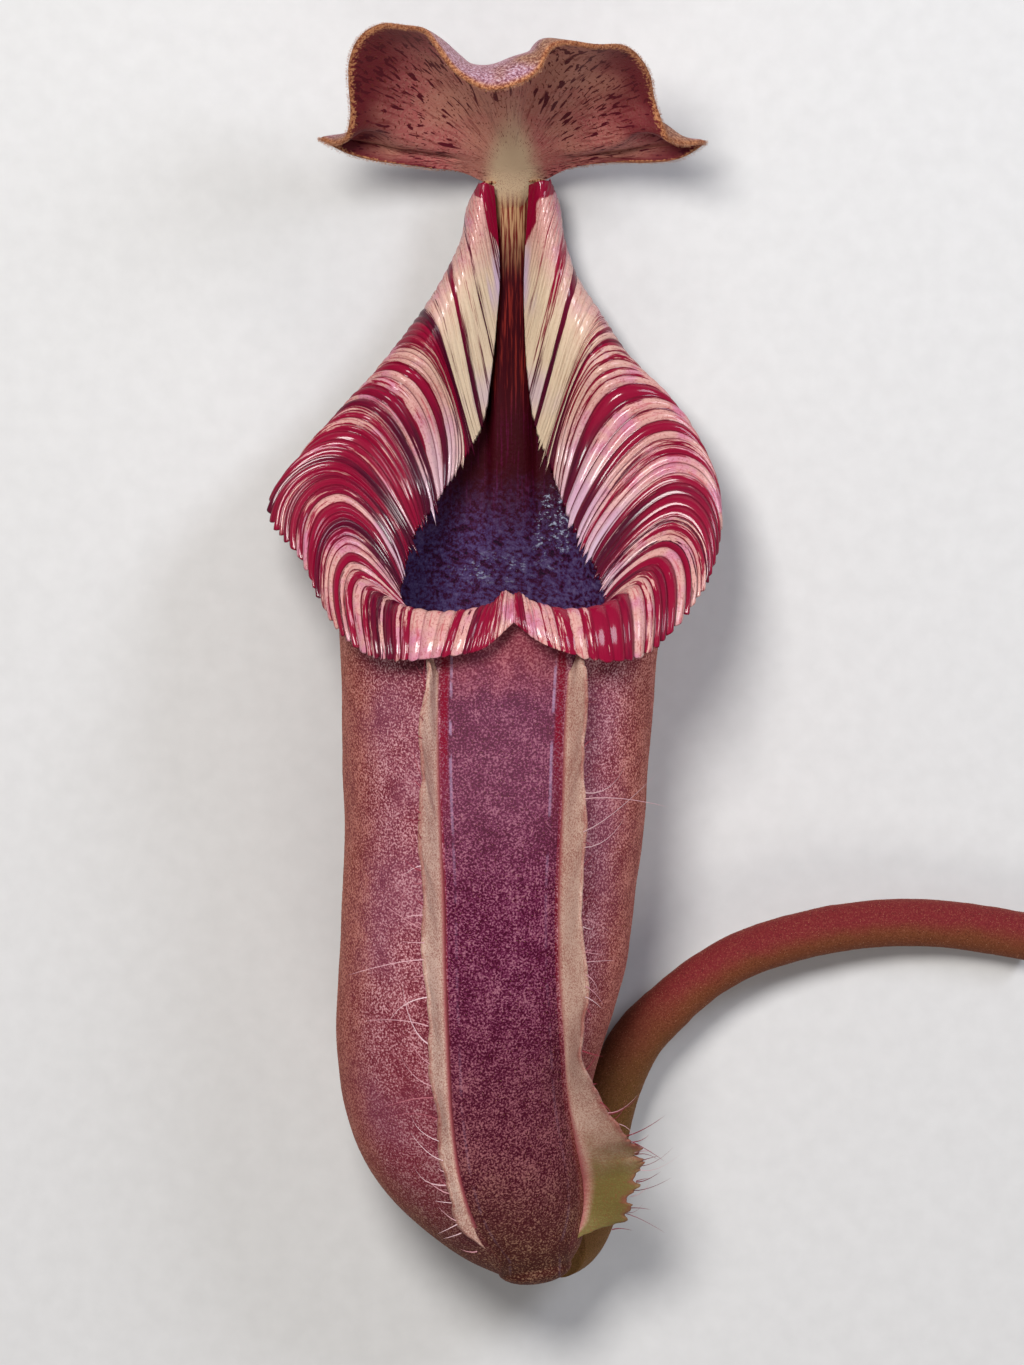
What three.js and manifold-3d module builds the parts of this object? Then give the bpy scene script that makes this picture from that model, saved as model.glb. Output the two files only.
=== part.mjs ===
// A picked pitcher trap of a tropical pitcher plant, lying on its back on a flat surface.
// It is shaped standing up (x to the right, y to the back, z up, millimetres) and laid down at the end.
import * as THREE from 'three';
import { mergeVertices } from 'three/addons/utils/BufferGeometryUtils.js';
import Module from 'manifold-3d';

const wasm = await Module();
wasm.setup();

// Driving dimensions, in millimetres
const wall = 1.7;               // thickness of the pitcher wall
const rimThickness = 1.0;       // thickness of the wall where it meets the collar
const restingDepth = 22.3;      // depth of the flat place on the back that the pitcher lies on
const seatGap = 0.3;            // air between neighbouring organs
const sliver = 0.035;           // joined shapes lose the edges shorter than this
const needleHeight = 0.006;     // a triangle thinner than this is a needle
const needlePasses = 3;
const columnRise = 1.2;         // how far the striped column stands out inside the neck
const collarThickness = 1.1;    // thickness of the ribbed collar between its ribs
const collarSeat = 1.85;        // depth of the wall's rim under the collar's crest
const ribsPerSide = 62;
const ribHeight = 0.42;         // half the height of a rib over the groove beside it
const toothLength = 1.1;        // reach of a tooth past the inner edge
const scallop = 0.35;           // reach of a rib past the outer edge
const lidThickness = 1.0;
const lidBow = { least: 2, more: 4, tipForward: 14, tipUp: 10 };
const tendrilRadius = 3.85;
const wingThickness = 0.9;
const wingWave = 0.45;          // how far the free edge of a wing waves to each side
const wingRoot = 0.35;          // air between a wing's foot and the wall
const filamentRadius = 0.36;

const rimSteps = 21;            // columns of the wall on each side of the mouth
const bodySteps = 12;           // rows of the wall below the level ring
const bodyEnd = 0.985;          // where the lowest ring lies on the way to the tip
const neckSteps = 7;            // rows of the wall above the level ring
const insideStart = 2;          // the lowest row of the inside
const lidRays = 56;
const lidRings = 7;
const stalkSteps = 32;
const neckTop = { x: 0.3, height: 176.2, depth: 15.4, halfWidth: 1.6 };

// The stalk: it leaves the bottom at the back, passes behind the right wing and comes down to the surface
const stalk = [[5.6, 4.0, 5.5], [8.9, 8.0, 6.4], [11.2, 11.0, 9.6], [12.7, 12.9, 14.7], [14.0, 13.7, 20.3],
  [15.6, 13.9, 26.3], [18.0, 14.0, 32.9], [21.2, 14.1, 38.3], [25.4, 14.3, 42.6], [31.1, 14.6, 47.4],
  [37.0, 15.1, 50.9], [43.8, 15.7, 53.3], [52.7, 16.6, 55.3], [61.3, 17.5, 56.1], [70.0, 18.2, 55.9],
  [78.0, 18.45, 54.8], [85.3, 18.45, 53.5]];
const stalkRadii = [6.0, 6.2, 5.9, 5.4, 5.0, 4.7];
const stalkJoint = 0.235;       // how far along its path the stalk leaves the pitcher
const wingSteps = 40;
const spur = [[0.4, 15.9, 169.0], [0.5, 16.8, 171.4], [0.6, 18.0, 174.2], [0.8, 18.9, 177.4]];

const backward = new THREE.Vector3(0, 1, 0);
const vec = (p) => new THREE.Vector3(p[0], p[1], p[2]);
const curve = (points) => new THREE.CatmullRomCurve3(points.map(vec), false, 'centripetal');
const stalkPath = curve(stalk);
const mix = (a, b, k) => a + (b - a) * k;

// Seeded random numbers, the same each run
function randomSource(seed) {
  let state = seed;
  return () => {
    state = (state * 1664525 + 1013904223) % 4294967296;
    return state / 4294967296;
  };
}

// The body, seen from the front: its outline on the left and right, from the level ring down to the
// bottom, with the depth of its front and back. Each row is [xLeft, zLeft, xRight, zRight, front, back].
const bodyRows = [
  [-26.9, 95, 23.2, 95, 24.0, 24.0],
  [-26.9, 84, 22.1, 84, 24.0, 24.0],
  [-26.5, 74, 21.4, 74, 23.8, 24.0],
  [-26.9, 64, 20.1, 64, 23.5, 24.0],
  [-27.4, 53, 18.9, 53, 23.0, 24.0],
  [-27.8, 44, 16.8, 45, 22.2, 23.8],
  [-27.5, 36, 14.6, 38, 21.2, 23.2],
  [-26.4, 28, 13.0, 31.5, 19.8, 21.6],
  [-23.8, 20.8, 12.3, 25, 18.0, 19.6],
  [-19.4, 14.3, 12.3, 18.6, 15.6, 17.2],
  [-13.6, 8.6, 12.3, 12.4, 12.4, 14.2],
  [-7.2, 4.0, 11.6, 7.0, 8.8, 10.6],
  [-0.8, 1.0, 9.4, 3.0, 4.8, 6.4],
];
const bodyTip = [5.2, 0.5, 0];
const bodyCurves = {
  left: curve(bodyRows.map((r) => [r[0], 0, r[1]])),
  right: curve(bodyRows.map((r) => [r[2], 0, r[3]])),
  depth: curve(bodyRows.map((r) => [r[4], r[5], 0])),
};

// A point of the body at row position s (0 at the ring, 1 near the tip) and angle a (0 at the front,
// positive to the right), set in by a wall thickness
function bodyPoint(s, a, inset) {
  const left = bodyCurves.left.getPoint(s);
  const right = bodyCurves.right.getPoint(s);
  const depth = bodyCurves.depth.getPoint(s);
  const across = right.clone().sub(left);
  const half = across.length() / 2;
  across.normalize();
  const centre = left.add(right).multiplyScalar(0.5);
  const front = depth.x - inset;
  const back = depth.y - inset;
  const reach = Math.cos(a) > 0 ? -front * Math.cos(a) : -back * Math.cos(a);
  const point = centre.addScaledVector(across, (half - inset) * Math.sin(a));
  point.y = Math.min(reach, restingDepth - inset);
  return point;
}

// The mouth, from the middle of the front to the top of the neck, on the left and on the right:
// the toothed inner edge, the crest of the roll and the outer margin of the collar
const mouth = {
  left: {
    tooth: curve([[0.4, -19.5, 111.0], [-2.8, -19.5, 110.4], [-7.6, -18.5, 109.2], [-12.3, -16.5, 109.0],
      [-15.8, -14.0, 110.0], [-17.3, -11.0, 112.3], [-16.9, -7.0, 115.1], [-15.6, -1.5, 120.1],
      [-14.5, 1.5, 122.3], [-12.2, 6.0, 124.9], [-10.3, 9.0, 127.8], [-6.4, 13.5, 133.6],
      [-4.4, 15.5, 137.2], [-3.1, 15.0, 147.0], [-2.8, 14.3, 154.3], [-2.5, 13.4, 161.5], [-2.0, 12.0, 171.5]]),
    crest: curve([[0.5, -24.8, 113.6], [-3.3, -25.6, 112.0], [-8.5, -25.0, 110.9], [-13.6, -23.5, 110.8],
      [-19.7, -20.0, 112.0], [-25.0, -14.5, 115.6], [-27.0, -7.5, 122.4], [-28.4, -1.5, 130.4],
      [-26.5, 3.0, 134.6], [-22.6, 6.5, 139.4], [-18.9, 8.0, 143.2], [-14.4, 9.0, 148.4],
      [-10.3, 9.5, 155.0], [-7.8, 9.5, 160.2], [-6.2, 9.3, 165.0], [-5.0, 9.1, 169.6], [-3.6, 10.0, 174.6]]),
    margin: curve([[0.6, -28.0, 109.6], [-4.4, -29.2, 105.5], [-10.0, -28.7, 104.4], [-15.4, -27.0, 103.6],
      [-22.0, -23.0, 103.9], [-27.7, -17.0, 108.1], [-32.9, -8.0, 117.2], [-38.5, 1.0, 125.1],
      [-33.6, 7.5, 132.0], [-26.7, 13.0, 139.3], [-22.4, 15.0, 144.0], [-18.2, 16.5, 149.5],
      [-13.1, 17.0, 156.4], [-9.9, 16.5, 162.4], [-7.8, 15.5, 167.1], [-6.5, 14.5, 171.5], [-5.2, 13.0, 175.2]]),
  },
  right: {
    tooth: curve([[0.4, -19.5, 111.0], [3.2, -19.5, 110.5], [7.6, -18.5, 109.5], [12.3, -16.5, 109.5],
      [14.6, -13.8, 110.8], [15.2, -11.0, 112.4], [14.4, -7.5, 114.2], [13.2, -4.5, 116.8],
      [11.4, -1.0, 119.8], [9.6, 2.5, 122.9], [8.1, 6.5, 126.5], [6.0, 12.0, 132.0],
      [4.4, 15.3, 137.0], [3.5, 15.0, 146.0], [3.2, 14.3, 153.5], [2.9, 13.4, 161.0], [2.4, 12.0, 171.5]]),
    crest: curve([[0.5, -24.8, 113.6], [3.6, -25.6, 112.6], [8.3, -25.0, 111.3], [14.2, -23.3, 111.5],
      [18.4, -20.0, 112.9], [22.2, -14.8, 115.6], [25.7, -8.5, 120.2], [27.2, -3.5, 126.0],
      [26.4, 1.0, 131.6], [23.9, 5.0, 136.6], [20.6, 7.2, 141.0], [15.0, 8.8, 147.0],
      [11.0, 9.5, 153.2], [8.4, 9.5, 158.8], [6.6, 9.3, 164.2], [5.4, 9.1, 169.4], [4.3, 10.0, 174.6]]),
    margin: curve([[0.6, -28.0, 109.6], [4.4, -29.2, 106.8], [9.1, -29.0, 104.9], [16.5, -26.0, 103.3],
      [21.0, -22.5, 103.9], [26.0, -17.0, 107.6], [31.3, -9.0, 114.4], [33.3, -3.0, 119.8],
      [33.4, 3.5, 126.5], [30.6, 8.5, 133.8], [26.2, 12.5, 140.1], [19.6, 15.6, 147.2],
      [14.6, 16.8, 154.8], [10.8, 16.6, 161.0], [8.6, 15.6, 167.4], [7.3, 14.5, 171.8], [6.2, 13.0, 175.4]]),
  },
};

// The collar's own surface, v from the teeth (0) over the crest (0.55) to the rolled outer margin (1)
const crestAt = 0.55;
function collarPoint(side, t, v) {
  const tooth = mouth[side].tooth.getPoint(t);
  const crest = mouth[side].crest.getPoint(t);
  const margin = mouth[side].margin.getPoint(t);
  const along = margin.clone().sub(tooth);
  const inner = v < crestAt;
  const k = inner ? v / crestAt : (v - crestAt) / (1 - crestAt);
  const start = inner ? tooth : crest;
  const end = inner ? crest : margin;
  const span = end.clone().sub(start);
  const atCrest = along.multiplyScalar(inner ? 0.42 : 0.5);
  const rise = span.clone().multiplyScalar(inner ? 1.0 : 1.3);
  const atStart = inner ? rise : atCrest;
  const atEnd = inner ? atCrest : rise.sub(atCrest.clone().multiplyScalar(0.75));
  const k2 = k * k;
  const k3 = k2 * k;
  return start.clone().multiplyScalar(2 * k3 - 3 * k2 + 1)
    .addScaledVector(atStart, k3 - 2 * k2 + k)
    .addScaledVector(end, 3 * k2 - 2 * k3)
    .addScaledVector(atEnd, k3 - k2);
}

// The direction that the collar's face looks in
function collarNormal(side, t, v) {
  const step = 0.004;
  const across = collarPoint(side, t, Math.min(1, v + 0.02)).sub(collarPoint(side, t, Math.max(0, v - 0.02)));
  const along = collarPoint(side, Math.min(1, t + step), v).sub(collarPoint(side, Math.max(0, t - step), v));
  const normal = side === 'left' ? along.cross(across) : across.cross(along);
  return normal.normalize();
}

// Stations along one side of the mouth, evenly spaced on the crest
function evenStations(side, count) {
  const crest = mouth[side].crest;
  return Array.from({ length: count + 1 }, (_, i) => crest.getUtoTmapping(i / count));
}

// Triangles between rows of points. Rows are rings when closed is set, and caps fans over the ends.
function loft(rows, closed, caps) {
  const width = rows[0].length;
  const positions = rows.flat().flatMap((p) => [p.x, p.y, p.z]);
  const faces = [];
  const columns = closed ? width : width - 1;
  for (let r = 0; r < rows.length - 1; r += 1) {
    for (let c = 0; c < columns; c += 1) {
      const a = r * width + c;
      const b = r * width + ((c + 1) % width);
      faces.push(a, b, a + width, b, b + width, a + width);
    }
  }
  caps.forEach(({ row, point, flip }) => {
    const hub = positions.length / 3;
    positions.push(point.x, point.y, point.z);
    for (let c = 0; c < width; c += 1) {
      const a = row * width + c;
      const b = row * width + ((c + 1) % width);
      faces.push(...(flip ? [b, a, hub] : [a, b, hub]));
    }
  });
  return shell(positions, faces);
}

function shell(positions, faces) {
  const geometry = new THREE.BufferGeometry();
  geometry.setAttribute('position', new THREE.Float32BufferAttribute(positions, 3));
  geometry.setIndex(facesOutward(positions, faces) ? faces : faces.toReversed());
  return mergeVertices(geometry, 1e-4);
}

// A closed shape whose faces look outward has a positive volume
function facesOutward(positions, faces) {
  const corner = (i) => new THREE.Vector3().fromArray(positions, 3 * faces[i]);
  let volume = 0;
  for (let i = 0; i < faces.length; i += 3) volume += corner(i).dot(corner(i + 1).cross(corner(i + 2)));
  return volume > 0;
}

function average(points) {
  const sum = points.reduce((total, p) => total.add(p), new THREE.Vector3());
  return sum.multiplyScalar(1 / points.length);
}

// Solid geometry to and from a form that can be joined and cut
function toSolid(geometry) {
  return new wasm.Manifold(new wasm.Mesh({
    numProp: 3,
    vertProperties: new Float32Array(geometry.attributes.position.array),
    triVerts: new Uint32Array(geometry.index.array),
  }));
}

function fromSolid(solid) {
  const mesh = solid.simplify(sliver).getMesh();
  const positions = Array.from(mesh.vertProperties);
  let triangles = joinClosePoints(positions, Array.from(mesh.triVerts));
  for (let pass = 0; pass < needlePasses; pass += 1) triangles = turnNeedles(positions, triangles);
  return shell(positions, triangles.flat());
}

// The ends of a very short edge become one point
function joinClosePoints(positions, faces) {
  const point = (i) => new THREE.Vector3().fromArray(positions, 3 * i);
  const joined = new Map();
  const kept = (i) => (joined.has(i) ? kept(joined.get(i)) : i);
  const triangles = [];
  for (let i = 0; i < faces.length; i += 3) triangles.push(faces.slice(i, i + 3));
  triangles.forEach((corners) => corners.forEach((corner, k) => {
    const a = kept(corner);
    const b = kept(corners[(k + 1) % 3]);
    if (a !== b && point(a).distanceTo(point(b)) < sliver) joined.set(a, b);
  }));
  return triangles.map((corners) => corners.map(kept)).filter((corners) => new Set(corners).size === 3);
}

// A triangle with a corner on its own long edge, and the neighbour over that edge, are split the other way
function turnNeedles(positions, triangles) {
  const point = (i) => new THREE.Vector3().fromArray(positions, 3 * i);
  const owner = new Map();
  triangles.forEach((t, i) => t.forEach((corner, k) => owner.set(`${corner} ${t[(k + 1) % 3]}`, i)));
  const turned = triangles.map((t) => [...t]);
  const touched = new Set();
  triangles.forEach((t, i) => {
    const lengths = t.map((corner, k) => point(corner).distanceTo(point(t[(k + 1) % 3])));
    const longest = lengths.indexOf(Math.max(...lengths));
    const [a, b, c] = [0, 1, 2].map((k) => t[(longest + k) % 3]);
    const edge = point(b).sub(point(a));
    const height = edge.clone().cross(point(c).sub(point(a))).length() / edge.length();
    const other = owner.get(`${b} ${a}`);
    if (height > needleHeight || touched.has(i) || touched.has(other)) return;
    const d = triangles[other].find((corner) => corner !== a && corner !== b);
    turned[i] = [c, a, d];
    turned[other] = [d, b, c];
    touched.add(i).add(other);
  });
  return turned;
}

// A tapering round limb along a stretch of a curve, drawn to a point or cut flat at its end
function limb(path, from, to, radii, sides, pointed) {
  const steps = radii.length - 1;
  let across = null;
  const rows = radii.map((radius, i) => {
    const u = mix(from, to, i / steps);
    const tangent = path.getTangent(u);
    if (!across) {
      const aside = Math.abs(tangent.y) < 0.8 ? backward : new THREE.Vector3(1, 0, 0);
      across = new THREE.Vector3().crossVectors(aside, tangent).normalize();
    }
    across.addScaledVector(tangent, -across.dot(tangent)).normalize();
    const over = new THREE.Vector3().crossVectors(tangent, across);
    const centre = path.getPoint(u);
    return Array.from({ length: sides }, (_, k) => {
      const a = (2 * Math.PI * k) / sides;
      return centre.clone()
        .addScaledVector(across, radius * Math.cos(a))
        .addScaledVector(over, radius * Math.sin(a));
    });
  });
  if (pointed) rows.pop();
  const last = rows[rows.length - 1];
  return loft(rows, true, [
    { row: 0, point: average(rows[0]), flip: true },
    { row: rows.length - 1, point: pointed ? path.getPoint(to) : average(last), flip: false },
  ]);
}

// The pitcher wall. Each column of it runs from the bottom up to its own place on the mouth, and the
// columns at the back run up the neck. The three at its middle carry the striped column inside.
function rimPlaces() {
  const places = [];
  const ring = { front: bodyPoint(0, 0, 0), side: bodyPoint(0, Math.PI / 2, 0) };
  const ringHalfWidth = ring.side.x - ring.front.x;
  const onSide = (side, t) => {
    const normal = collarNormal(side, t, crestAt);
    const place = collarPoint(side, t, crestAt).addScaledVector(normal, -collarSeat);
    const outward = mouth[side].margin.getPoint(t).sub(mouth[side].tooth.getPoint(t));
    outward.addScaledVector(normal, -outward.dot(normal)).normalize();
    const angle = Math.atan2((place.x - ring.front.x) / ringHalfWidth, place.y / ring.front.y);
    return { place, normal, outward, angle, ridge: 0 };
  };
  evenStations('left', rimSteps).forEach((t) => places.push(onSide('left', t)));
  [-1, 0, 1].forEach((k) => places.push({
    place: new THREE.Vector3(neckTop.x + k * neckTop.halfWidth, neckTop.depth, neckTop.height),
    normal: new THREE.Vector3(0, -0.25, 1).normalize(),
    outward: backward,
    angle: Math.PI - 0.13 * k,
    ridge: 1,
  }));
  evenStations('right', rimSteps).slice(1).reverse().forEach((t) => places.push(onSide('right', t)));
  return places;
}

function wallColumn(rim, inset) {
  const points = [];
  const outerSide = inset === 0 ? 0.5 : -0.5;
  for (let i = bodySteps; i > 0; i -= 1) points.push(bodyPoint(i / bodySteps * bodyEnd, rim.angle, inset));
  const foot = bodyPoint(0, rim.angle, inset);
  const head = rim.place.clone().addScaledVector(rim.outward, rimThickness * outerSide);
  const reach = head.distanceTo(foot);
  const rising = new THREE.Vector3(0, 0, reach);
  const arriving = rim.normal.clone().multiplyScalar(reach * 0.45);
  for (let i = 0; i <= neckSteps; i += 1) {
    const k = i / neckSteps;
    const k2 = k * k;
    const k3 = k2 * k;
    const point = foot.clone().multiplyScalar(2 * k3 - 3 * k2 + 1)
      .addScaledVector(rising, k3 - 2 * k2 + k)
      .addScaledVector(head, 3 * k2 - 2 * k3)
      .addScaledVector(arriving, k3 - k2);
    point.y = Math.min(point.y, restingDepth - inset);
    if (inset > 0) point.y -= rim.ridge * columnRise * THREE.MathUtils.smoothstep(k, 0.3, 0.6);
    points.push(point);
  }
  return points;
}

function pitcherWall() {
  const rims = rimPlaces();
  const outside = rims.map((rim) => wallColumn(rim, 0));
  const inside = rims.map((rim) => wallColumn(rim, wall));
  const rows = [];
  for (let r = 0; r < outside[0].length; r += 1) rows.push(outside.map((column) => column[r]));
  for (let r = outside[0].length - 1; r >= insideStart; r -= 1) rows.push(inside.map((column) => column[r]));
  const last = rows[rows.length - 1];
  return loft(rows, true, [
    { row: 0, point: vec(bodyTip), flip: true },
    { row: rows.length - 1, point: average(last).add(new THREE.Vector3(0, 0, -1.5)), flip: false },
  ]);
}

const wallGeometry = pitcherWall();

function pitcher() {
  const stalkStart = limb(stalkPath, 0, stalkJoint, stalkRadii, 12, false);
  const spike = limb(curve(spur), 0, 1, [0.9, 0.95, 0.75, 0.45, 0.2], 6, true);
  return fromSolid(toSolid(wallGeometry).add(toSolid(stalkStart)).add(toSolid(spike)));
}

// The collar: a strip of ribs from the top of the left lobe, round the front, to the top of the right lobe
const faceSteps = [0, 0.1, 0.24, 0.4, 0.55, 0.7, 0.85, 1];
const undersideSteps = [0.93, 0.72, 0.5, 0.26, 0.07];

function collarSection(side, t, crowned) {
  const lift = crowned ? ribHeight : -ribHeight;
  const top = faceSteps.map((v) => {
    const strength = 0.35 + 0.65 * Math.sin(Math.PI * Math.min(0.5, v * 1.6));
    return collarPoint(side, t, v).addScaledVector(collarNormal(side, t, v), lift * strength);
  });
  const toothWay = top[0].clone().sub(top[1]).normalize();
  top[0].addScaledVector(toothWay, crowned ? toothLength : -0.3);
  const edgeWay = top[top.length - 1].clone().sub(top[top.length - 2]).normalize();
  top[top.length - 1].addScaledVector(edgeWay, crowned ? scallop : -scallop);
  const under = undersideSteps.map((v) => {
    const thick = collarThickness * (0.55 + 0.45 * Math.sin(Math.PI * v));
    return collarPoint(side, t, v).addScaledVector(collarNormal(side, t, v), -thick);
  });
  return [...top, ...under];
}

function collar() {
  const samples = ribsPerSide * 2;
  const left = evenStations('left', samples).map((t, i) => collarSection('left', t, i % 2 === 0)).reverse();
  const right = evenStations('right', samples).map((t, i) => collarSection('right', t, i % 2 === 0)).slice(1);
  const rows = [...left, ...right];
  return loft(rows, true, [
    { row: 0, point: average(rows[0]), flip: true },
    { row: rows.length - 1, point: average(rows[rows.length - 1]), flip: false },
  ]);
}

// The lid: rays run from its root out to a waved rim, bowed upward on the way
const lidRoot = [0.4, 11.6, 178.7];
const lidRim = [
  [-4.6, 14.2, 176.95], [-9.0, 11.0, 178.4], [-14.4, 8.5, 179.3], [-20.6, 6.0, 180.2], [-26.3, 4.5, 181.7],
  [-30.3, 3.0, 183.7], [-27.6, -1.0, 185.6], [-25.3, -5.5, 188.4], [-25.5, -11.0, 193.1],
  [-25.3, -15.0, 197.2], [-23.5, -19.0, 201.1], [-20.2, -22.0, 203.0], [-16.7, -25.0, 202.8],
  [-13.4, -28.0, 202.2], [-11.5, -30.5, 200.0], [-8.4, -32.0, 196.5], [-3.3, -33.0, 193.9],
  [1.5, -32.6, 194.9], [4.4, -31.6, 197.0], [6.2, -29.6, 199.3], [8.9, -27.0, 200.3], [13.6, -24.0, 199.8],
  [17.9, -20.0, 199.6], [20.6, -16.0, 197.3], [22.2, -12.0, 194.4], [22.9, -7.5, 190.6],
  [24.4, -4.0, 187.5], [27.8, 0.0, 185.3], [31.2, 3.0, 183.0], [27.0, 5.0, 180.7], [18.2, 7.5, 180.1],
  [12.8, 9.5, 179.5], [9.3, 11.2, 178.6], [5.4, 14.2, 176.95],
];

function lid() {
  const rim = new THREE.CatmullRomCurve3(lidRim.map(vec), true, 'centripetal');
  const root = vec(lidRoot);
  const outward = new THREE.Vector3(0, 0.6, 0.8);
  const rays = Array.from({ length: lidRays }, (_, i) => {
    const end = rim.getPoint(i / lidRays);
    const span = end.clone().sub(root);
    const forward = Math.max(0, -span.y) / 45;
    const middle = Math.exp(-((end.x - 0.5) ** 2) / 130) * THREE.MathUtils.smoothstep(forward, 0.6, 0.95);
    const bow = root.clone().addScaledVector(span, 0.55);
    bow.addScaledVector(outward, lidBow.least + lidBow.more * forward);
    bow.add(new THREE.Vector3(0, -lidBow.tipForward, lidBow.tipUp).multiplyScalar(middle));
    return new THREE.QuadraticBezierCurve3(root, bow, end);
  });
  const rings = Array.from({ length: lidRings }, (_, r) => rays.map((ray) => ray.getPoint((r + 1) / lidRings)));
  const normalAt = (r, i) => {
    const before = rings[r][(i + lidRays - 1) % lidRays];
    const after = rings[r][(i + 1) % lidRays];
    const inner = r === 0 ? root : rings[r - 1][i];
    const outer = rings[Math.min(r + 1, lidRings - 1)][i];
    return outer.clone().sub(inner).cross(after.clone().sub(before)).normalize();
  };
  const moved = (p, r, i, offset) => p.clone().addScaledVector(normalAt(r, i), offset);
  const face = (offset) => rings.map((ring, r) => ring.map((p, i) => moved(p, r, i, offset)));
  const upper = face(lidThickness / 2);
  const lower = face(-lidThickness / 2).reverse();
  const rows = [...upper, ...lower];
  return loft(rows, true, [
    { row: 0, point: root.clone().addScaledVector(outward, lidThickness / 2), flip: true },
    { row: rows.length - 1, point: root.clone().addScaledVector(outward, -lidThickness / 2), flip: false },
  ]);
}

function tendril() {
  const start = stalkJoint + (seatGap / stalkPath.getLength()) * 1.3;
  const thick = stalkRadii[stalkRadii.length - 1];
  const slimming = (i) => Math.min(1, (3 * i) / stalkSteps);
  const radii = Array.from({ length: stalkSteps + 1 }, (_, i) => mix(thick, tendrilRadius, slimming(i)));
  return limb(stalkPath, start, 1, radii, 12, false);
}

// A wing: a leaning, waved blade whose foot follows the pitcher wall, with filaments along its free edge
function onFront(x, z) {
  const ray = new THREE.Raycaster(new THREE.Vector3(x, -60, z), backward);
  return ray.intersectObject(new THREE.Mesh(wallGeometry))[0];
}

function wing(foot, edge, waves, filaments) {
  const footLine = curve(foot.map(([x, z]) => [x, 0, z]));
  const edgeLine = curve(edge);
  const rows = Array.from({ length: wingSteps + 1 }, (_, i) => {
    const u = i / wingSteps;
    const place = footLine.getPoint(u);
    const hit = onFront(place.x, place.z);
    const along = footLine.getTangent(u);
    const low = hit.point.clone().addScaledVector(hit.face.normal, wingRoot);
    const aside = new THREE.Vector3().crossVectors(along, hit.face.normal).normalize();
    const high = edgeLine.getPoint(u);
    const lean = high.clone().sub(low).normalize();
    const thin = new THREE.Vector3().crossVectors(edgeLine.getTangent(u), lean).normalize();
    high.addScaledVector(thin, wingWave * Math.sin(2 * Math.PI * waves * u));
    if (thin.dot(aside) < 0) thin.negate();
    const half = wingThickness / 2;
    return [
      low.clone().addScaledVector(aside, half),
      low.clone().addScaledVector(aside, -half),
      high.clone().addScaledVector(thin, -half * 0.7),
      high.clone().addScaledVector(thin, half * 0.7),
    ];
  });
  const blade = loft(rows, true, [
    { row: 0, point: average(rows[0]), flip: true },
    { row: wingSteps, point: average(rows[wingSteps]), flip: false },
  ]);
  const hairs = filaments(edgeLine).map((path) => {
    const reach = path.getLength();
    const radii = [1, 0.85, 0.6, 0.25].map((k) => filamentRadius * k * Math.min(1, 0.6 + reach / 20));
    return toSolid(limb(path, 0, 1, radii, 3, true));
  });
  return fromSolid(wasm.Manifold.union([toSolid(blade), ...hairs]));
}

// Filaments: short and steep at the top, long and arched lower down
function fringe(side, seed, count, from, to, longest) {
  return (edgeLine) => {
    const random = randomSource(seed);
    return Array.from({ length: count }, (_, i) => {
      const u = mix(from, to, (i + 0.7 * random()) / count);
      const root = edgeLine.getPoint(u);
      const thinning = 1 - 0.5 * THREE.MathUtils.smoothstep(u, 0.8, 1);
      const fullness = THREE.MathUtils.smoothstep(u, 0.2, 0.55) * thinning;
      const reach = mix(2.2, longest, fullness) * (0.7 + 0.6 * random());
      const lift = mix(0.9, 0.25, fullness) + 0.5 * (random() - 0.5);
      const out = new THREE.Vector3(side, -0.25 + 0.5 * random(), lift).normalize();
      const droop = new THREE.Vector3(0.1 * side, 0, -0.35 * fullness);
      const sunk = root.clone().addScaledVector(out, -0.7);
      const middle = root.clone().addScaledVector(out, reach * 0.5).addScaledVector(droop, -reach * 0.25);
      const tip = root.clone().addScaledVector(out, reach).addScaledVector(droop, reach * 0.5);
      return new THREE.CatmullRomCurve3([sunk, middle, tip]);
    });
  };
}

const leftWing = {
  foot: [[-10.8, 102.2], [-11.0, 90.9], [-10.8, 80.0], [-10.2, 65.5], [-10.0, 53.0], [-9.5, 38.2], [-9.1, 29.8],
    [-7.6, 18.9], [-5.2, 10.9], [-1.6, 4.8]],
  edge: [[-12.2, -26.0, 102.2], [-13.7, -27.0, 90.8], [-14.0, -27.2, 80.0], [-13.6, -27.0, 65.5], [-13.1, -26.2, 52.5],
    [-12.3, -24.4, 38.2], [-11.4, -22.2, 29.5], [-10.0, -18.0, 18.6], [-7.9, -14.2, 10.2], [-2.0, -9.2, 4.2]],
};
const rightWing = {
  foot: [[8.8, 102.2], [8.2, 90.8], [7.9, 80.0], [7.3, 65.5], [7.4, 52.8], [8.1, 40.7], [8.7, 31.5],
    [9.8, 24.0], [10.8, 18.0], [10.9, 12.5], [9.6, 7.0]],
  edge: [[11.0, -26.2, 102.2], [11.6, -27.2, 90.8], [11.5, -27.2, 80.0], [11.4, -26.6, 65.5], [12.0, -25.4, 51.5],
    [11.6, -22.5, 40.4], [14.2, -17.5, 32.5], [19.5, -12.0, 24.5], [20.7, -9.0, 19.5], [17.4, -6.2, 12.0], [13.6, -5.2, 6.0]],
};

const olive = new THREE.MeshStandardMaterial({ color: 0x7a3b35, roughness: 0.75 });
const crimson = new THREE.MeshStandardMaterial({ color: 0xa8203a, roughness: 0.3 });
const mauve = new THREE.MeshStandardMaterial({ color: 0x9a5750, roughness: 0.65 });
const brick = new THREE.MeshStandardMaterial({ color: 0x6a2e1a, roughness: 0.8 });
const cream = new THREE.MeshStandardMaterial({ color: 0xc09a6a, roughness: 0.7 });

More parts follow.
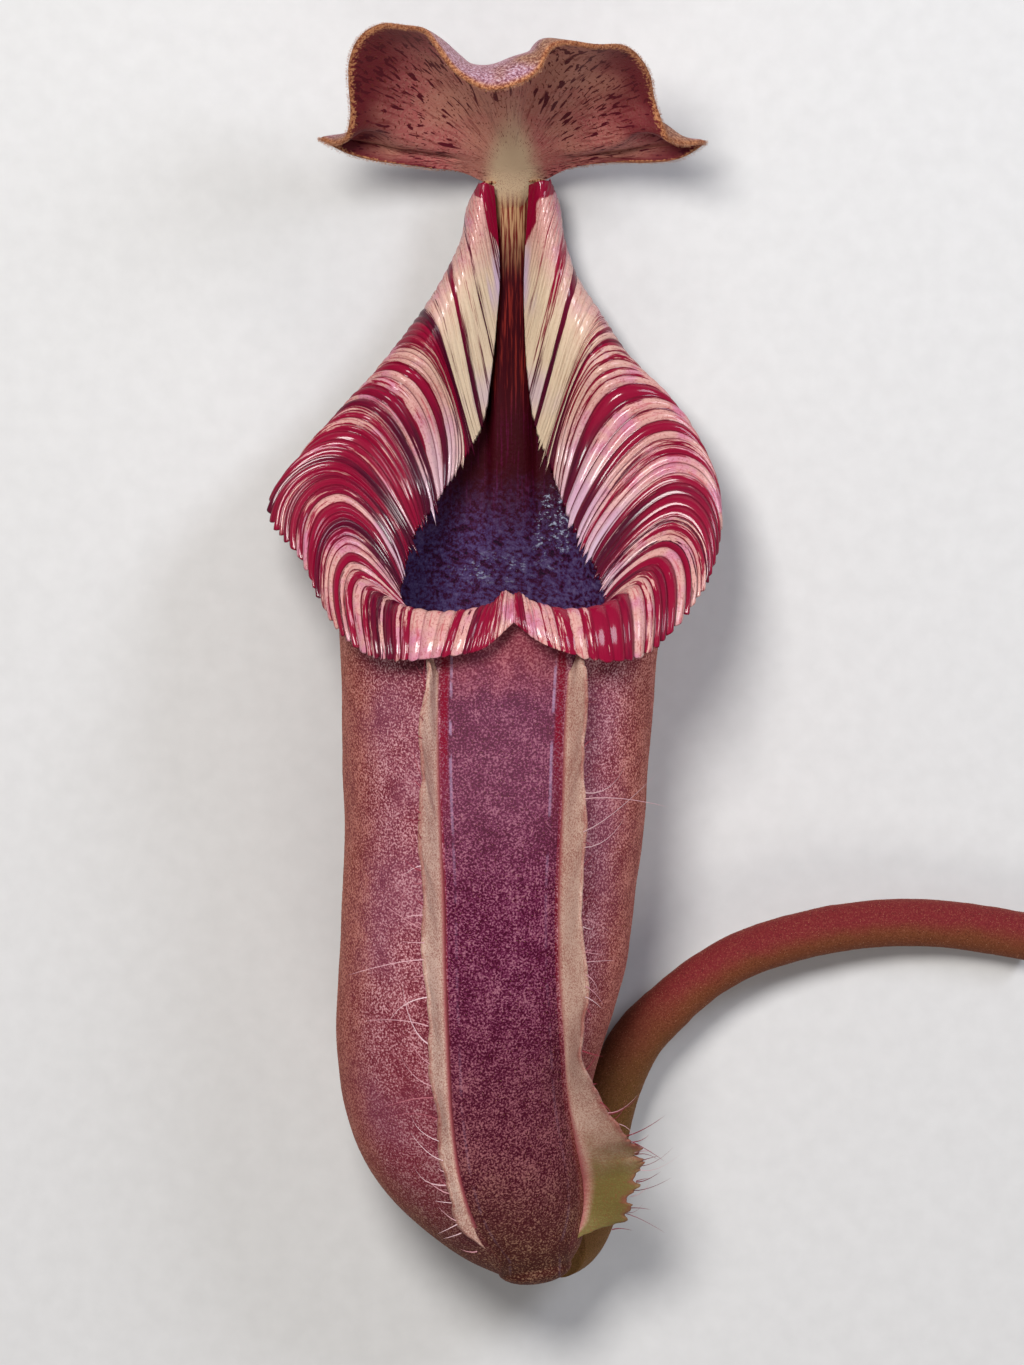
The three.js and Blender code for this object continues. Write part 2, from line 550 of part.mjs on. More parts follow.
function organ(name, geometry, material) {
  const mesh = new THREE.Mesh(geometry, material);
  mesh.name = name;
  return mesh;
}

const plant = new THREE.Group();
plant.add(organ('cup', pitcher(), olive));
plant.add(organ('peristome', collar(), crimson));
plant.add(organ('lid', lid(), mauve));
plant.add(organ('tendril', tendril(), brick));
plant.add(organ('wing_left', wing(leftWing.foot, leftWing.edge, 7, fringe(-1, 5, 30, 0.03, 0.97, 9)), cream));
plant.add(organ('wing_right', wing(rightWing.foot, rightWing.edge, 6, fringe(1, 11, 24, 0.03, 0.97, 6.5)), cream));

// Laid on its back: the front looks up, and the neck points along +Y
plant.rotation.x = -Math.PI / 2;
const resting = new THREE.Group();
resting.add(plant);
resting.updateMatrixWorld(true);
const box = new THREE.Box3().setFromObject(resting, true);
const centre = box.getCenter(new THREE.Vector3());
plant.position.set(-centre.x, -centre.y, -box.min.z);

export default resting;
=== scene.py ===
import math
from functools import partial

import bpy
import numpy as np
from mathutils import Matrix, Vector, noise
from mathutils.kdtree import KDTree


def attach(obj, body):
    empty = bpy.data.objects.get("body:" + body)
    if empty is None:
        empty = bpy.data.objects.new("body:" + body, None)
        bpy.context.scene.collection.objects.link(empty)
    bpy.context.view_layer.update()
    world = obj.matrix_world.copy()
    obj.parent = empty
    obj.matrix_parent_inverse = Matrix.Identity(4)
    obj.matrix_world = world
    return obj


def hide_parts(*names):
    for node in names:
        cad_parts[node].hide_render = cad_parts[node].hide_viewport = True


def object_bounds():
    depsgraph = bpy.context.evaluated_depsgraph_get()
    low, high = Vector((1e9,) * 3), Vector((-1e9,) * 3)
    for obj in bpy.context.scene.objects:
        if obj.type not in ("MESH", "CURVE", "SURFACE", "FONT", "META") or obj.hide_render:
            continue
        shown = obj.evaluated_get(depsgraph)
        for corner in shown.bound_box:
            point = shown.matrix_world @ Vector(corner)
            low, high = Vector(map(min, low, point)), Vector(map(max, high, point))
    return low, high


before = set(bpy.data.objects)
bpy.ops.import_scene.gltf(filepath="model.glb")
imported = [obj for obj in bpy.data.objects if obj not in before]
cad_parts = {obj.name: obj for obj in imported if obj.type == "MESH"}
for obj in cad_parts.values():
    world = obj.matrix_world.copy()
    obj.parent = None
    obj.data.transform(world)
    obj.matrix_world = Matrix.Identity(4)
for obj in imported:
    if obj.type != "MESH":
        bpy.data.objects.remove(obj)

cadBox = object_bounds()
print("CAD box", [[round(c * 1000, 1) for c in corner] for corner in cadBox])

# The pitcher is shaped standing up, in mm (x right, y to the back, z up), then laid on its back.
layShift = (-23.457, -101.607, 22.303)


def laid(points):
    p = np.asarray(points, float)
    x, y, z = p[..., 0], p[..., 1], p[..., 2]
    return np.stack([x + layShift[0], z + layShift[1], layShift[2] - y], axis=-1) / 1000


def smoothCurve(points, closed=False):
    pts = np.array(points, float)
    count = len(pts)
    padded = np.vstack([2 * pts[0] - pts[1], pts, 2 * pts[-1] - pts[-2]])

    def at(t):
        t = np.atleast_1d(np.asarray(t, float))
        place = t * (count if closed else count - 1)
        i = np.floor(place).astype(int)
        if not closed:
            i = np.clip(i, 0, count - 2)
        w = (place - i)[:, None]
        if closed:
            p0, p1, p2, p3 = (pts[(i + k) % count] for k in (-1, 0, 1, 2))
        else:
            p0, p1, p2, p3 = (padded[i + k] for k in (0, 1, 2, 3))
        d0, d1, d2 = (np.sqrt(np.linalg.norm(b - a, axis=1))[:, None] + 1e-9
                      for a, b in ((p0, p1), (p1, p2), (p2, p3)))
        m1 = ((p1 - p0) / d0 - (p2 - p0) / (d0 + d1) + (p2 - p1) / d1) * d1
        m2 = ((p2 - p1) / d1 - (p3 - p1) / (d1 + d2) + (p3 - p2) / d2) * d1
        return p1 + m1 * w + (3 * (p2 - p1) - 2 * m1 - m2) * w**2 + (2 * (p1 - p2) + m1 + m2) * w**3
    return at


def evenly(path, u):  # the curve's parameter at an even share u of its length
    t = np.linspace(0, 1, 1601)
    steps = np.linalg.norm(np.diff(path(t), axis=0), axis=1)
    run = np.concatenate([[0], np.cumsum(steps)])
    return np.interp(np.asarray(u) * run[-1], run, t)


def unit(v):
    return v / (np.linalg.norm(v, axis=-1, keepdims=True) + 1e-12)


def hermite(start, leaving, end, arriving, k):
    return (start * (2 * k**3 - 3 * k**2 + 1) + leaving * (k**3 - 2 * k**2 + k)
            + end * (3 * k**2 - 2 * k**3) + arriving * (k**3 - k**2))


def ease(low, high, x):
    k = np.clip((np.asarray(x, float) - low) / (high - low), 0, 1)
    return k * k * (3 - 2 * k)


def wander(x, seed):  # a smooth random line, 0 to 1
    values = np.random.default_rng(seed).random(2048)
    i = np.floor(x).astype(int)
    f = ease(0, 1, x - i)
    return values[i % 2048] * (1 - f) + values[(i + 1) % 2048] * f


def wander2(x, y, seed):  # a smooth random field, 0 to 1
    values = np.random.default_rng(seed).random((256, 256))
    i, j = np.floor(x).astype(int), np.floor(y).astype(int)
    f, g = ease(0, 1, x - i), ease(0, 1, y - j)
    low = values[i % 256, j % 256] * (1 - f) + values[(i + 1) % 256, j % 256] * f
    high = values[i % 256, (j + 1) % 256] * (1 - f) + values[(i + 1) % 256, (j + 1) % 256] * f
    return low * (1 - g) + high * g


# a sheet from rows and columns of points
def gridPiece(name, place):
    rows, cols = place.shape[0] - 1, place.shape[1] - 1
    bpy.ops.object.select_all(action="DESELECT")
    bpy.ops.mesh.primitive_grid_add(x_subdivisions=cols, y_subdivisions=rows, size=0.1, calc_uvs=True)
    piece = bpy.context.object
    piece.name = piece.data.name = name
    piece.data.vertices.foreach_set("co", np.ascontiguousarray(place, dtype=np.float32).reshape(-1))
    piece.data.update()
    return piece


def keepValues(piece, values):
    for name, array in values.items():
        field = piece.data.attributes.new(name, "FLOAT", "POINT")
        field.data.foreach_set("value", np.ascontiguousarray(array, dtype=np.float32).reshape(-1))


def choose(piece):
    bpy.ops.object.select_all(action="DESELECT")
    piece.select_set(True)
    bpy.context.view_layer.objects.active = piece


def weld(piece):
    choose(piece)
    bpy.ops.object.mode_set(mode="EDIT")
    bpy.ops.mesh.select_all(action="SELECT")
    bpy.ops.mesh.remove_doubles(threshold=1e-6)
    bpy.ops.mesh.normals_make_consistent(inside=False)
    bpy.ops.object.mode_set(mode="OBJECT")
    bpy.ops.object.shade_smooth()


def finishWith(piece, kind, **settings):
    choose(piece)
    mod = piece.modifiers.new(kind.title(), kind)
    for key, value in settings.items():
        setattr(mod, key, value)
    bpy.ops.object.modifier_apply(modifier=mod.name)


def settle(piece, node, slot, *finishes):
    while len(piece.data.materials) < len(finishes):
        piece.data.materials.append(None)
    for i, finish in enumerate(finishes):
        piece.data.materials[i] = finish
    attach(piece, "root")
    if node:
        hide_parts(*node)
    tris = sum(len(p.vertices) - 2 for p in piece.data.polygons)
    print("made", piece.name, tris, "triangles")


making = {}  # the node tree and the shader that the helpers below work on


def newFinish(name):
    finish = bpy.data.materials.new(name)
    finish.use_nodes = True
    tree = finish.node_tree
    tree.nodes.clear()
    out = tree.nodes.new("ShaderNodeOutputMaterial")
    shader = tree.nodes.new("ShaderNodeBsdfPrincipled")
    tree.links.new(shader.outputs[0], out.inputs[0])
    making.update(tree=tree, shader=shader)
    return finish


def put(target, value):
    if isinstance(value, bpy.types.NodeSocket):
        making["tree"].links.new(value, target)
    elif target.type == "RGBA" and len(value) == 3:
        target.default_value = (*value, 1)
    else:
        target.default_value = value


def add(kind, inputs=None, **settings):
    node = making["tree"].nodes.new(kind)
    for key, value in settings.items():
        setattr(node, key, value)
    for key, value in (inputs or {}).items():
        put(node.inputs[key], value)
    return node


def field(name):
    return add("ShaderNodeAttribute", attribute_name=name).outputs["Fac"]


def pointIn(kind):
    return add("ShaderNodeTexCoord").outputs[kind]


def noiseAt(vector, scale, detail=2.0, rough=0.5):
    inputs = {"Vector": vector, "Scale": scale, "Detail": detail, "Roughness": rough}
    return add("ShaderNodeTexNoise", inputs).outputs["Fac"]


def stretched(vector, scale):
    return add("ShaderNodeMapping", {"Vector": vector, "Scale": scale}).outputs[0]


def between(value, low, high, outLow=0.0, outHigh=1.0):  # eases from outLow to outHigh
    inputs = {0: value, 1: low, 2: high, 3: outLow, 4: outHigh}
    return add("ShaderNodeMapRange", inputs, interpolation_type="SMOOTHSTEP").outputs[0]


def worked(kind, a, b=0.0):
    return add("ShaderNodeMath", {0: a, 1: b}, operation=kind).outputs[0]


kinds = ("MULTIPLY", "ADD", "SUBTRACT", "MAXIMUM", "ABSOLUTE")
times, plus, minus, larger, absolute = (partial(worked, kind) for kind in kinds)


def swing(value, size):  # a noise that goes to both sides of zero
    return times(minus(value, 0.5), size)


def blend(share, a, b):
    return add("ShaderNodeMix", {0: share, 6: a, 7: b}, data_type="RGBA").outputs[2]


def ramp(value, tones, **places):  # tones[name] stands at places[name]
    node = add("ShaderNodeValToRGB", {"Fac": value})
    while len(node.color_ramp.elements) < len(places):
        node.color_ramp.elements.new(0.5)
    for element, (name, place) in zip(node.color_ramp.elements, places.items()):
        element.position = place
        element.color = (*tones[name], 1)
    return node.outputs[0]


def columnThreads():  # fine lines that run up the striped column
    lines = {"X": times(field("across"), 2.6), "Y": times(field("height"), 0.1)}
    return noiseAt(add("ShaderNodeCombineXYZ", lines).outputs[0], 1.0, 3.0, 0.65)


def bumpy(height, strength, depth):
    node = add("ShaderNodeBump", {"Height": height, "Strength": strength, "Distance": depth})
    put(making["shader"].inputs["Normal"], node.outputs[0])


def surface(**inputs):
    for key, value in inputs.items():
        put(making["shader"].inputs[key.replace("_", " ")], value)


# the camera, the floor and the light
view = {"aim": (-23.14, -4.41, 22.3), "tilt": 6.0, "away": 1500.0, "height": 218.4, "sensor": 24.0}

aim = Vector(view["aim"]) / 1000
tilt = math.radians(view["tilt"])
back = Vector((0, math.sin(tilt), math.cos(tilt)))
up = Vector((0, math.cos(tilt), -math.sin(tilt)))
cameraData = bpy.data.cameras.new("viewCamera")
camera = bpy.data.objects.new("viewCamera", cameraData)
bpy.context.collection.objects.link(camera)
cameraData.sensor_fit = "VERTICAL"
cameraData.sensor_height = view["sensor"]
cameraData.lens = view["sensor"] * view["away"] / view["height"]
cameraData.clip_start = 0.01
turned = Matrix((Vector((1, 0, 0)), up, back)).transposed().to_4x4()
camera.matrix_world = Matrix.Translation(aim + back * view["away"] / 1000) @ turned
bpy.context.scene.camera = camera

lights = {
    "key": {"at": (-170, 290, 660), "size": 240, "power": 5.2, "colour": (1.0, 0.98, 0.96)},
    "sky": {"at": (380, 330, 470), "size": 240, "power": 2.0, "colour": (0.84, 0.88, 1.0)},
    "low": {"at": (60, -520, 380), "size": 260, "power": 1.0, "colour": (1.0, 0.95, 0.92)},
}
bpy.context.scene.view_settings.view_transform = "Standard"
for name, light in lights.items():
    lamp = bpy.data.lights.new(name + "Light", "AREA")
    lamp.shape = "DISK"
    lamp.size = light["size"] / 1000
    lamp.energy = light["power"]
    lamp.color = light["colour"]
    lampObject = bpy.data.objects.new(name + "Light", lamp)
    bpy.context.collection.objects.link(lampObject)
    place = Vector(light["at"]) / 1000
    lampObject.location = place
    lampObject.rotation_euler = (aim - place).to_track_quat("-Z", "Y").to_euler()

room = {"colour": (0.85, 0.88, 0.95, 1), "strength": 0.16}
world = bpy.data.worlds.new("softRoom")
bpy.context.scene.world = world
world.use_nodes = True
background = world.node_tree.nodes["Background"]
background.inputs["Color"].default_value = room["colour"]
background.inputs["Strength"].default_value = room["strength"]

bpy.ops.object.select_all(action="DESELECT")
bpy.ops.mesh.primitive_plane_add(size=3.0, location=(0, 0, 0))
floor = bpy.context.object
floor.name = "paleFloor"
floorFinish = newFinish("palePaper")
paper = noiseAt(pointIn("Object"), 300.0, 4.0)
paperTones = {"dark": (0.57, 0.565, 0.555), "light": (0.60, 0.595, 0.585)}
surface(Base_Color=ramp(paper, paperTones, dark=0.3, light=0.7), Roughness=0.85)
floor.data.materials.append(floorFinish)
print("camera, light and floor are set")

# the curves that the pitcher grows along; body rows: xLeft, zLeft, xRight, zRight, depth of the front, depth of the back
bodyRows = [
    (-26.9, 95, 23.2, 95, 24.0, 24.0), (-26.9, 84, 22.1, 84, 24.0, 24.0), (-26.5, 74, 21.4, 74, 23.8, 24.0),
    (-26.9, 64, 20.1, 64, 23.5, 24.0), (-27.4, 53, 18.9, 53, 23.0, 24.0), (-27.8, 44, 16.8, 45, 22.2, 23.8),
    (-27.5, 36, 14.6, 38, 21.2, 23.2), (-26.4, 28, 13.0, 31.5, 19.8, 21.6), (-23.8, 20.8, 12.3, 25, 18.0, 19.6),
    (-19.4, 14.3, 12.3, 18.6, 15.6, 17.2), (-13.6, 8.6, 12.3, 12.4, 12.4, 14.2),
    (-7.2, 4.0, 11.6, 7.0, 8.8, 10.6), (-0.8, 1.0, 9.4, 3.0, 4.8, 6.4)]
bodyTip = np.array((5.2, 0.5, 0.0))
bodyLeft = smoothCurve([(r[0], 0, r[1]) for r in bodyRows])
bodyRight = smoothCurve([(r[2], 0, r[3]) for r in bodyRows])
bodyDepth = smoothCurve([(r[4], r[5], 0) for r in bodyRows])

# the mouth from the front's middle to the neck's top: teeth, crest of the roll, outer margin
mouthPoints = {
    "left": {
        "tooth": [
            (0.4, -19.5, 111.0), (-2.8, -19.5, 110.4), (-7.6, -18.5, 109.2), (-12.3, -16.5, 109.0),
            (-15.8, -14.0, 110.0), (-17.3, -11.0, 112.3), (-16.9, -7.0, 115.1), (-15.6, -1.5, 120.1),
            (-14.5, 1.5, 122.3), (-12.2, 6.0, 124.9), (-10.3, 9.0, 127.8), (-6.4, 13.5, 133.6),
            (-4.4, 15.5, 137.2), (-2.8, 15.0, 147.0), (-2.1, 14.3, 154.3), (-1.6, 13.4, 161.5),
            (-2.5, 11.5, 176.0)],
        "crest": [
            (0.5, -24.8, 113.6), (-3.3, -25.6, 112.0), (-8.5, -25.0, 110.9), (-13.6, -23.5, 110.8),
            (-19.7, -20.0, 112.0), (-25.0, -14.5, 115.6), (-27.0, -7.5, 122.4), (-28.4, -1.5, 130.4),
            (-26.5, 3.0, 134.6), (-22.6, 6.5, 139.4), (-18.9, 8.0, 143.2), (-14.4, 9.0, 148.4),
            (-10.3, 9.5, 155.0), (-7.8, 9.5, 160.2), (-6.2, 9.3, 165.0), (-5.0, 9.1, 169.8), (-4.0, 9.7, 176.7)],
        "margin": [
            (0.6, -28.0, 109.6), (-4.4, -29.2, 105.5), (-10.0, -28.7, 104.4), (-15.4, -27.0, 103.6),
            (-22.0, -23.0, 103.9), (-27.7, -17.0, 108.1), (-32.9, -8.0, 117.2), (-38.5, 1.0, 125.1),
            (-33.6, 7.5, 132.0), (-26.7, 13.0, 139.3), (-22.4, 15.0, 144.0), (-18.2, 16.5, 149.5),
            (-13.1, 17.0, 156.4), (-9.9, 16.5, 162.4), (-7.9, 15.5, 167.1), (-7.0, 14.2, 172.2),
            (-5.1, 11.6, 176.3)]},
    "right": {
        "tooth": [
            (0.4, -19.5, 111.0), (3.2, -19.5, 110.5), (7.6, -18.5, 109.5), (12.3, -16.5, 109.5),
            (14.6, -13.8, 110.8), (15.2, -11.0, 112.4), (14.4, -7.5, 114.2), (13.2, -4.5, 116.8),
            (11.4, -1.0, 119.8), (9.6, 2.5, 122.9), (8.1, 6.5, 126.5), (6.0, 12.0, 132.0), (4.0, 15.3, 137.0),
            (2.7, 15.0, 146.0), (2.3, 14.3, 153.5), (2.2, 13.4, 161.0), (3.0, 11.5, 176.2)],
        "crest": [
            (0.5, -24.8, 113.6), (3.6, -25.6, 112.6), (8.3, -25.0, 111.3), (14.2, -23.3, 111.5),
            (18.4, -20.0, 112.9), (22.2, -14.8, 115.6), (25.7, -8.5, 120.2), (27.2, -3.5, 126.0),
            (26.4, 1.0, 131.6), (23.9, 5.0, 136.6), (20.6, 7.2, 141.0), (15.0, 8.8, 147.0), (11.0, 9.5, 153.2),
            (8.4, 9.5, 158.8), (6.6, 9.3, 164.2), (5.5, 9.1, 169.6), (4.8, 9.7, 177.0)],
        "margin": [
            (0.6, -28.0, 109.6), (4.4, -29.2, 106.8), (9.1, -29.0, 104.9), (16.5, -26.0, 103.3),
            (21.0, -22.5, 103.9), (26.0, -17.0, 107.6), (31.3, -9.0, 114.4), (33.3, -3.0, 119.8),
            (33.4, 3.5, 126.5), (30.6, 8.5, 133.8), (26.2, 12.5, 140.1), (19.6, 15.6, 147.2),
            (14.6, 16.8, 154.8), (10.8, 16.6, 161.0), (8.8, 15.6, 167.4), (8.0, 14.2, 172.4), (6.4, 11.6, 176.8)]}}
mouth = {side: {edge: smoothCurve(points) for edge, points in edges.items()} for side, edges in mouthPoints.items()}
crestAt = 0.55  # the crest's place between the teeth and the margin
restingDepth = 22.3  # the floor's distance behind the middle plane


def collarPoint(side, t, v):
    tooth, crest, margin = (mouth[side][edge](t) for edge in ("tooth", "crest", "margin"))
    v = np.broadcast_to(np.asarray(v, float), np.shape(t))
    inner = (v < crestAt)[:, None]
    k = np.where(v < crestAt, v / crestAt, (v - crestAt) / (1 - crestAt))[:, None]
    start, end = np.where(inner, tooth, crest), np.where(inner, crest, margin)
    atCrest = (margin - tooth) * np.where(inner, 0.5, 0.6)
    rise = (end - start) * np.where(inner, 1.0, 1.3)
    atStart = np.where(inner, rise, atCrest)
    atEnd = np.where(inner, atCrest, rise - 0.75 * atCrest)
    return hermite(start, atStart, end, atEnd, k)


def collarNormal(side, t, v):
    v = np.broadcast_to(np.asarray(v, float), np.shape(t))
    across = collarPoint(side, t, np.minimum(1, v + 0.02)) - collarPoint(side, t, np.maximum(0, v - 0.02))
    along = collarPoint(side, np.minimum(1, t + 0.004), v) - collarPoint(side, np.maximum(0, t - 0.004), v)
    return unit(np.cross(along, across) if side == "left" else np.cross(across, along))


# the cup: one wall, outside, over the rim and back down the inside
cup = {"columns": 264, "bodyRows": 96, "neckRows": 64, "tipRows": 6, "insideRows": 84, "wall": 1.7, "rim": 1.0,
       "seat": 1.55, "ridge": 1.2, "lumps": 0.22, "stations": 22, "lowest": 0.985, "evened": 200,
       "ringCentre": -1.85, "ringHalf": 25.05, "ringFront": 24.0, "ridgeAt": (0.3, 15.4, 176.2), "ridgeHalf": 1.6,
       "ridgeTurn": 0.13}


def rimStations():
    places, normals, outs, angles, ridges = [], [], [], [], []

    def onSide(side, u):
        t = evenly(mouth[side]["crest"], u)
        n = collarNormal(side, t, crestAt)
        p = collarPoint(side, t, crestAt) - n * cup["seat"]
        o = mouth[side]["margin"](t) - mouth[side]["tooth"](t)
        o = unit(o - n * np.sum(o * n, axis=1, keepdims=True))
        a = np.arctan2((p[:, 0] - cup["ringCentre"]) / cup["ringHalf"], -p[:, 1] / cup["ringFront"])
        places.append(p), normals.append(n), outs.append(o), angles.append(a), ridges.append(np.zeros(len(u)))

    onSide("left", np.linspace(0, 1, cup["stations"]))
    k = np.array([-1, 0, 1.0])
    places.append(np.array(cup["ridgeAt"]) + np.outer(k, (cup["ridgeHalf"], 0, 0)))
    normals.append(np.tile(unit(np.array((0, -0.25, 1.0))), (3, 1)))
    outs.append(np.tile((0, 1.0, 0), (3, 1)))
    angles.append(np.pi - cup["ridgeTurn"] * k)
    ridges.append(np.ones(3))
    onSide("right", np.linspace(1, 0, cup["stations"])[:-1])
    table = np.hstack([np.vstack(places), np.vstack(normals), np.vstack(outs),
                       np.unwrap(np.concatenate(angles))[:, None], np.concatenate(ridges)[:, None]])
    turn = table[:1].copy()
    turn[0, 9] -= 2 * np.pi if table[-1, 9] < 0 else -2 * np.pi
    table = np.vstack([table, turn])
    # finer columns between these, on a smooth line
    knots = np.linspace(0, 1, len(table))
    fine = np.linspace(0, 1, cup["columns"] + 1)
    first, last = table[-2:-1].copy(), table[1:2].copy()
    first[0, 9] -= turn[0, 9] - table[0, 9]
    last[0, 9] += turn[0, 9] - table[0, 9]
    padded = np.vstack([first, table, last])
    place = fine * (len(knots) - 1)
    i = np.clip(np.floor(place).astype(int), 0, len(knots) - 2)
    w = (place - i)[:, None]
    p0, p1, p2, p3 = padded[i], padded[i + 1], padded[i + 2], padded[i + 3]
    result = 0.5 * (2 * p1 + (p2 - p0) * w + (2 * p0 - 5 * p1 + 4 * p2 - p3) * w**2
                    + (3 * p1 - p0 - 3 * p2 + p3) * w**3)
    around = result[:, 9].copy()
    for _ in range(cup["evened"]):  # no crease below the neck's back
        around[1:-1] = (around[:-2] + 2 * around[1:-1] + around[2:]) / 4
    return result[:, :3], unit(result[:, 3:6]), unit(result[:, 6:9]), around, np.clip(result[:, 10], 0, 1)


def bodyRing(s, angles, inset):
    left, right, depth = bodyLeft([s])[0], bodyRight([s])[0], bodyDepth([s])[0]
    across = right - left
    half = np.linalg.norm(across) / 2
    centre = (left + right) / 2
    point = centre + np.outer((half - inset) * np.sin(angles), across / (2 * half))
    reach = np.where(np.cos(angles) > 0, -(depth[0] - inset) * np.cos(angles), -(depth[1] - inset) * np.cos(angles))
    point[:, 1] = np.minimum(reach, restingDepth - inset)
    return point


rimPlace, rimNormal, rimOut, rimAngle, rimRidge = rimStations()


def wallRows(inset, bodyCount, neckCount, tipCount):
    rows = []
    ring = bodyRing(cup["lowest"], rimAngle, inset)
    tip = bodyTip + (0, 0, inset)
    middle = ring.mean(axis=0)
    for j in range(tipCount + 1):
        q = (1 - j / (tipCount + 1)) * math.pi / 2
        rows.append(middle + (ring - middle) * math.cos(q) + (tip - middle) * math.sin(q))
    for s in np.linspace(cup["lowest"], 0, bodyCount + 1)[:-1]:
        rows.append(bodyRing(s, rimAngle, inset))
    foot = bodyRing(0, rimAngle, inset)
    head = rimPlace + rimOut * cup["rim"] * (0.5 if inset == 0 else -0.5)
    reach = np.linalg.norm(head - foot, axis=1, keepdims=True)
    rising, arriving = reach * (0, 0, 1.0), rimNormal * reach * 0.45
    for k in np.linspace(0, 1, neckCount + 1):
        point = hermite(foot, rising, head, arriving, k)
        point[:, 1] = np.minimum(point[:, 1], restingDepth - inset)
        if inset > 0:
            point[:, 1] -= rimRidge * cup["ridge"] * ease(0.5, 0.75, k)
        rows.append(point)
    return np.array(rows)


outer = wallRows(0, cup["bodyRows"], cup["neckRows"], cup["tipRows"])
inner = wallRows(cup["wall"], cup["insideRows"] // 2, cup["insideRows"] // 2, 3)[4:][::-1]

# soft lumps, none where the pitcher lies on the floor
lump = np.array([[noise.noise(Vector(p) * 0.06) + 0.5 * noise.noise(Vector(p) * 0.17) for p in row]
                 for row in outer])
lump[:, -1] = lump[:, 0]
swell = unit((outer + (2, 0, 0)) * (1, 1, 0))
free = ease(restingDepth - 0.2, restingDepth - 3, outer[..., 1]) * ease(0, 12, outer[..., 2])
outer = outer + swell * (lump * cup["lumps"] * free)[..., None]
outer[..., 1] = np.minimum(outer[..., 1], restingDepth)

wallPlaces = np.concatenate([outer, inner], axis=0)
wallPlaces[:, -1] = wallPlaces[:, 0]
wallPlaces[0] = bodyTip
wallPlaces[-1] = wallPlaces[-1].mean(axis=0) - (0, 0, 1.5)

wingFeet = {
    "left": [
        (-10.8, 102.2), (-11.0, 90.9), (-10.8, 80.0), (-10.2, 65.5), (-10.0, 53.0), (-9.5, 38.2), (-9.1, 29.8),
        (-7.6, 18.9), (-5.2, 10.9), (-1.6, 4.8)],
    "right": [
        (8.8, 102.2), (8.2, 90.8), (7.9, 80.0), (7.3, 65.5), (7.4, 52.8), (8.1, 40.7), (8.7, 31.5), (9.8, 24.0),
        (10.8, 18.0), (10.9, 12.5), (9.6, 7.0)]}
footLine = {side: smoothCurve([(x, 0, z) for x, z in feet]) for side, feet in wingFeet.items()}
flat = wallPlaces[..., (0, 2)]
lineLeft, lineRight = footLine["left"](np.linspace(0, 1, 260)), footLine["right"](np.linspace(0, 1, 260))
edgeLeft = np.interp(flat[..., 1], lineLeft[::-1, 2], lineLeft[::-1, 0])
edgeRight = np.interp(flat[..., 1], lineRight[::-1, 2], lineRight[::-1, 0])
isInside = np.zeros(wallPlaces.shape[:2])
isInside[len(outer):] = 1
frontSide = (wallPlaces[..., 1] < 0) & (isInside < 0.5)
fromLeft = np.where(frontSide, flat[..., 0] - edgeLeft, -20)
fromRight = np.where(frontSide, edgeRight - flat[..., 0], -20)
wetPatch = np.exp(-((flat[..., 0] - 6.8) / 2.6)**2 - ((flat[..., 1] - 120.5) / 5)**2)
wetPatch = np.maximum(wetPatch, 0.3 * np.exp(-((flat[..., 0] + 3) / 9)**2 - ((flat[..., 1] - 113.5) / 3)**2))
print("cup wall worked out")

# painted sheen: a mask for the sides and back, where the orange-brown velvet is seen edge-on
edgeSheen = ease(0.62, 1.0, np.abs(np.sin(rimAngle))) + (np.cos(rimAngle) < 0)
cupPiece = gridPiece("pitcherCup", laid(wallPlaces))
keepValues(cupPiece, {"fromLeft": fromLeft, "fromRight": fromRight, "height": wallPlaces[..., 2],
                      "across": wallPlaces[..., 0], "wet": wetPatch, "edgeSheen": np.tile(edgeSheen, (len(wallPlaces), 1))})
insideFrom = (len(outer) - 1) * cup["columns"]
slots = np.zeros(len(cupPiece.data.polygons), dtype=np.int32)
slots[insideFrom:] = 1
cupPiece.data.materials.append(None)
cupPiece.data.materials.append(None)
cupPiece.data.polygons.foreach_set("material_index", slots)
weld(cupPiece)

skin = {
    "dark": (0.135, 0.012, 0.024), "maroon": (0.235, 0.042, 0.056), "rosy": (0.39, 0.125, 0.15),
    "cream": (0.66, 0.36, 0.38), "panelDark": (0.046, 0.001, 0.013), "panel": (0.092, 0.007, 0.036),
    "lilac": (0.155, 0.030, 0.072), "panelLight": (0.28, 0.105, 0.145), "red": (0.18, 0.003, 0.018),
    # gloss: the colour of a painted highlight on the panel's edges
    "gloss": (0.46, 0.34, 0.52), "foot": (0.045, 0.008, 0.005), "footLight": (0.24, 0.13, 0.075),
    "topDark": (0.20, 0.012, 0.022), "topRosy": (0.42, 0.12, 0.12), "bloom": (0.26, 0.09, 0.16),
    # sandDark and sand: colours of a painted velvet sheen on the sides
    "sandDark": (0.16, 0.012, 0.010), "sand": (0.48, 0.15, 0.085), "haze": (0.34, 0.14, 0.20),
    "brownDark": (0.050, 0.002, 0.008), "brown": (0.26, 0.09, 0.08)}

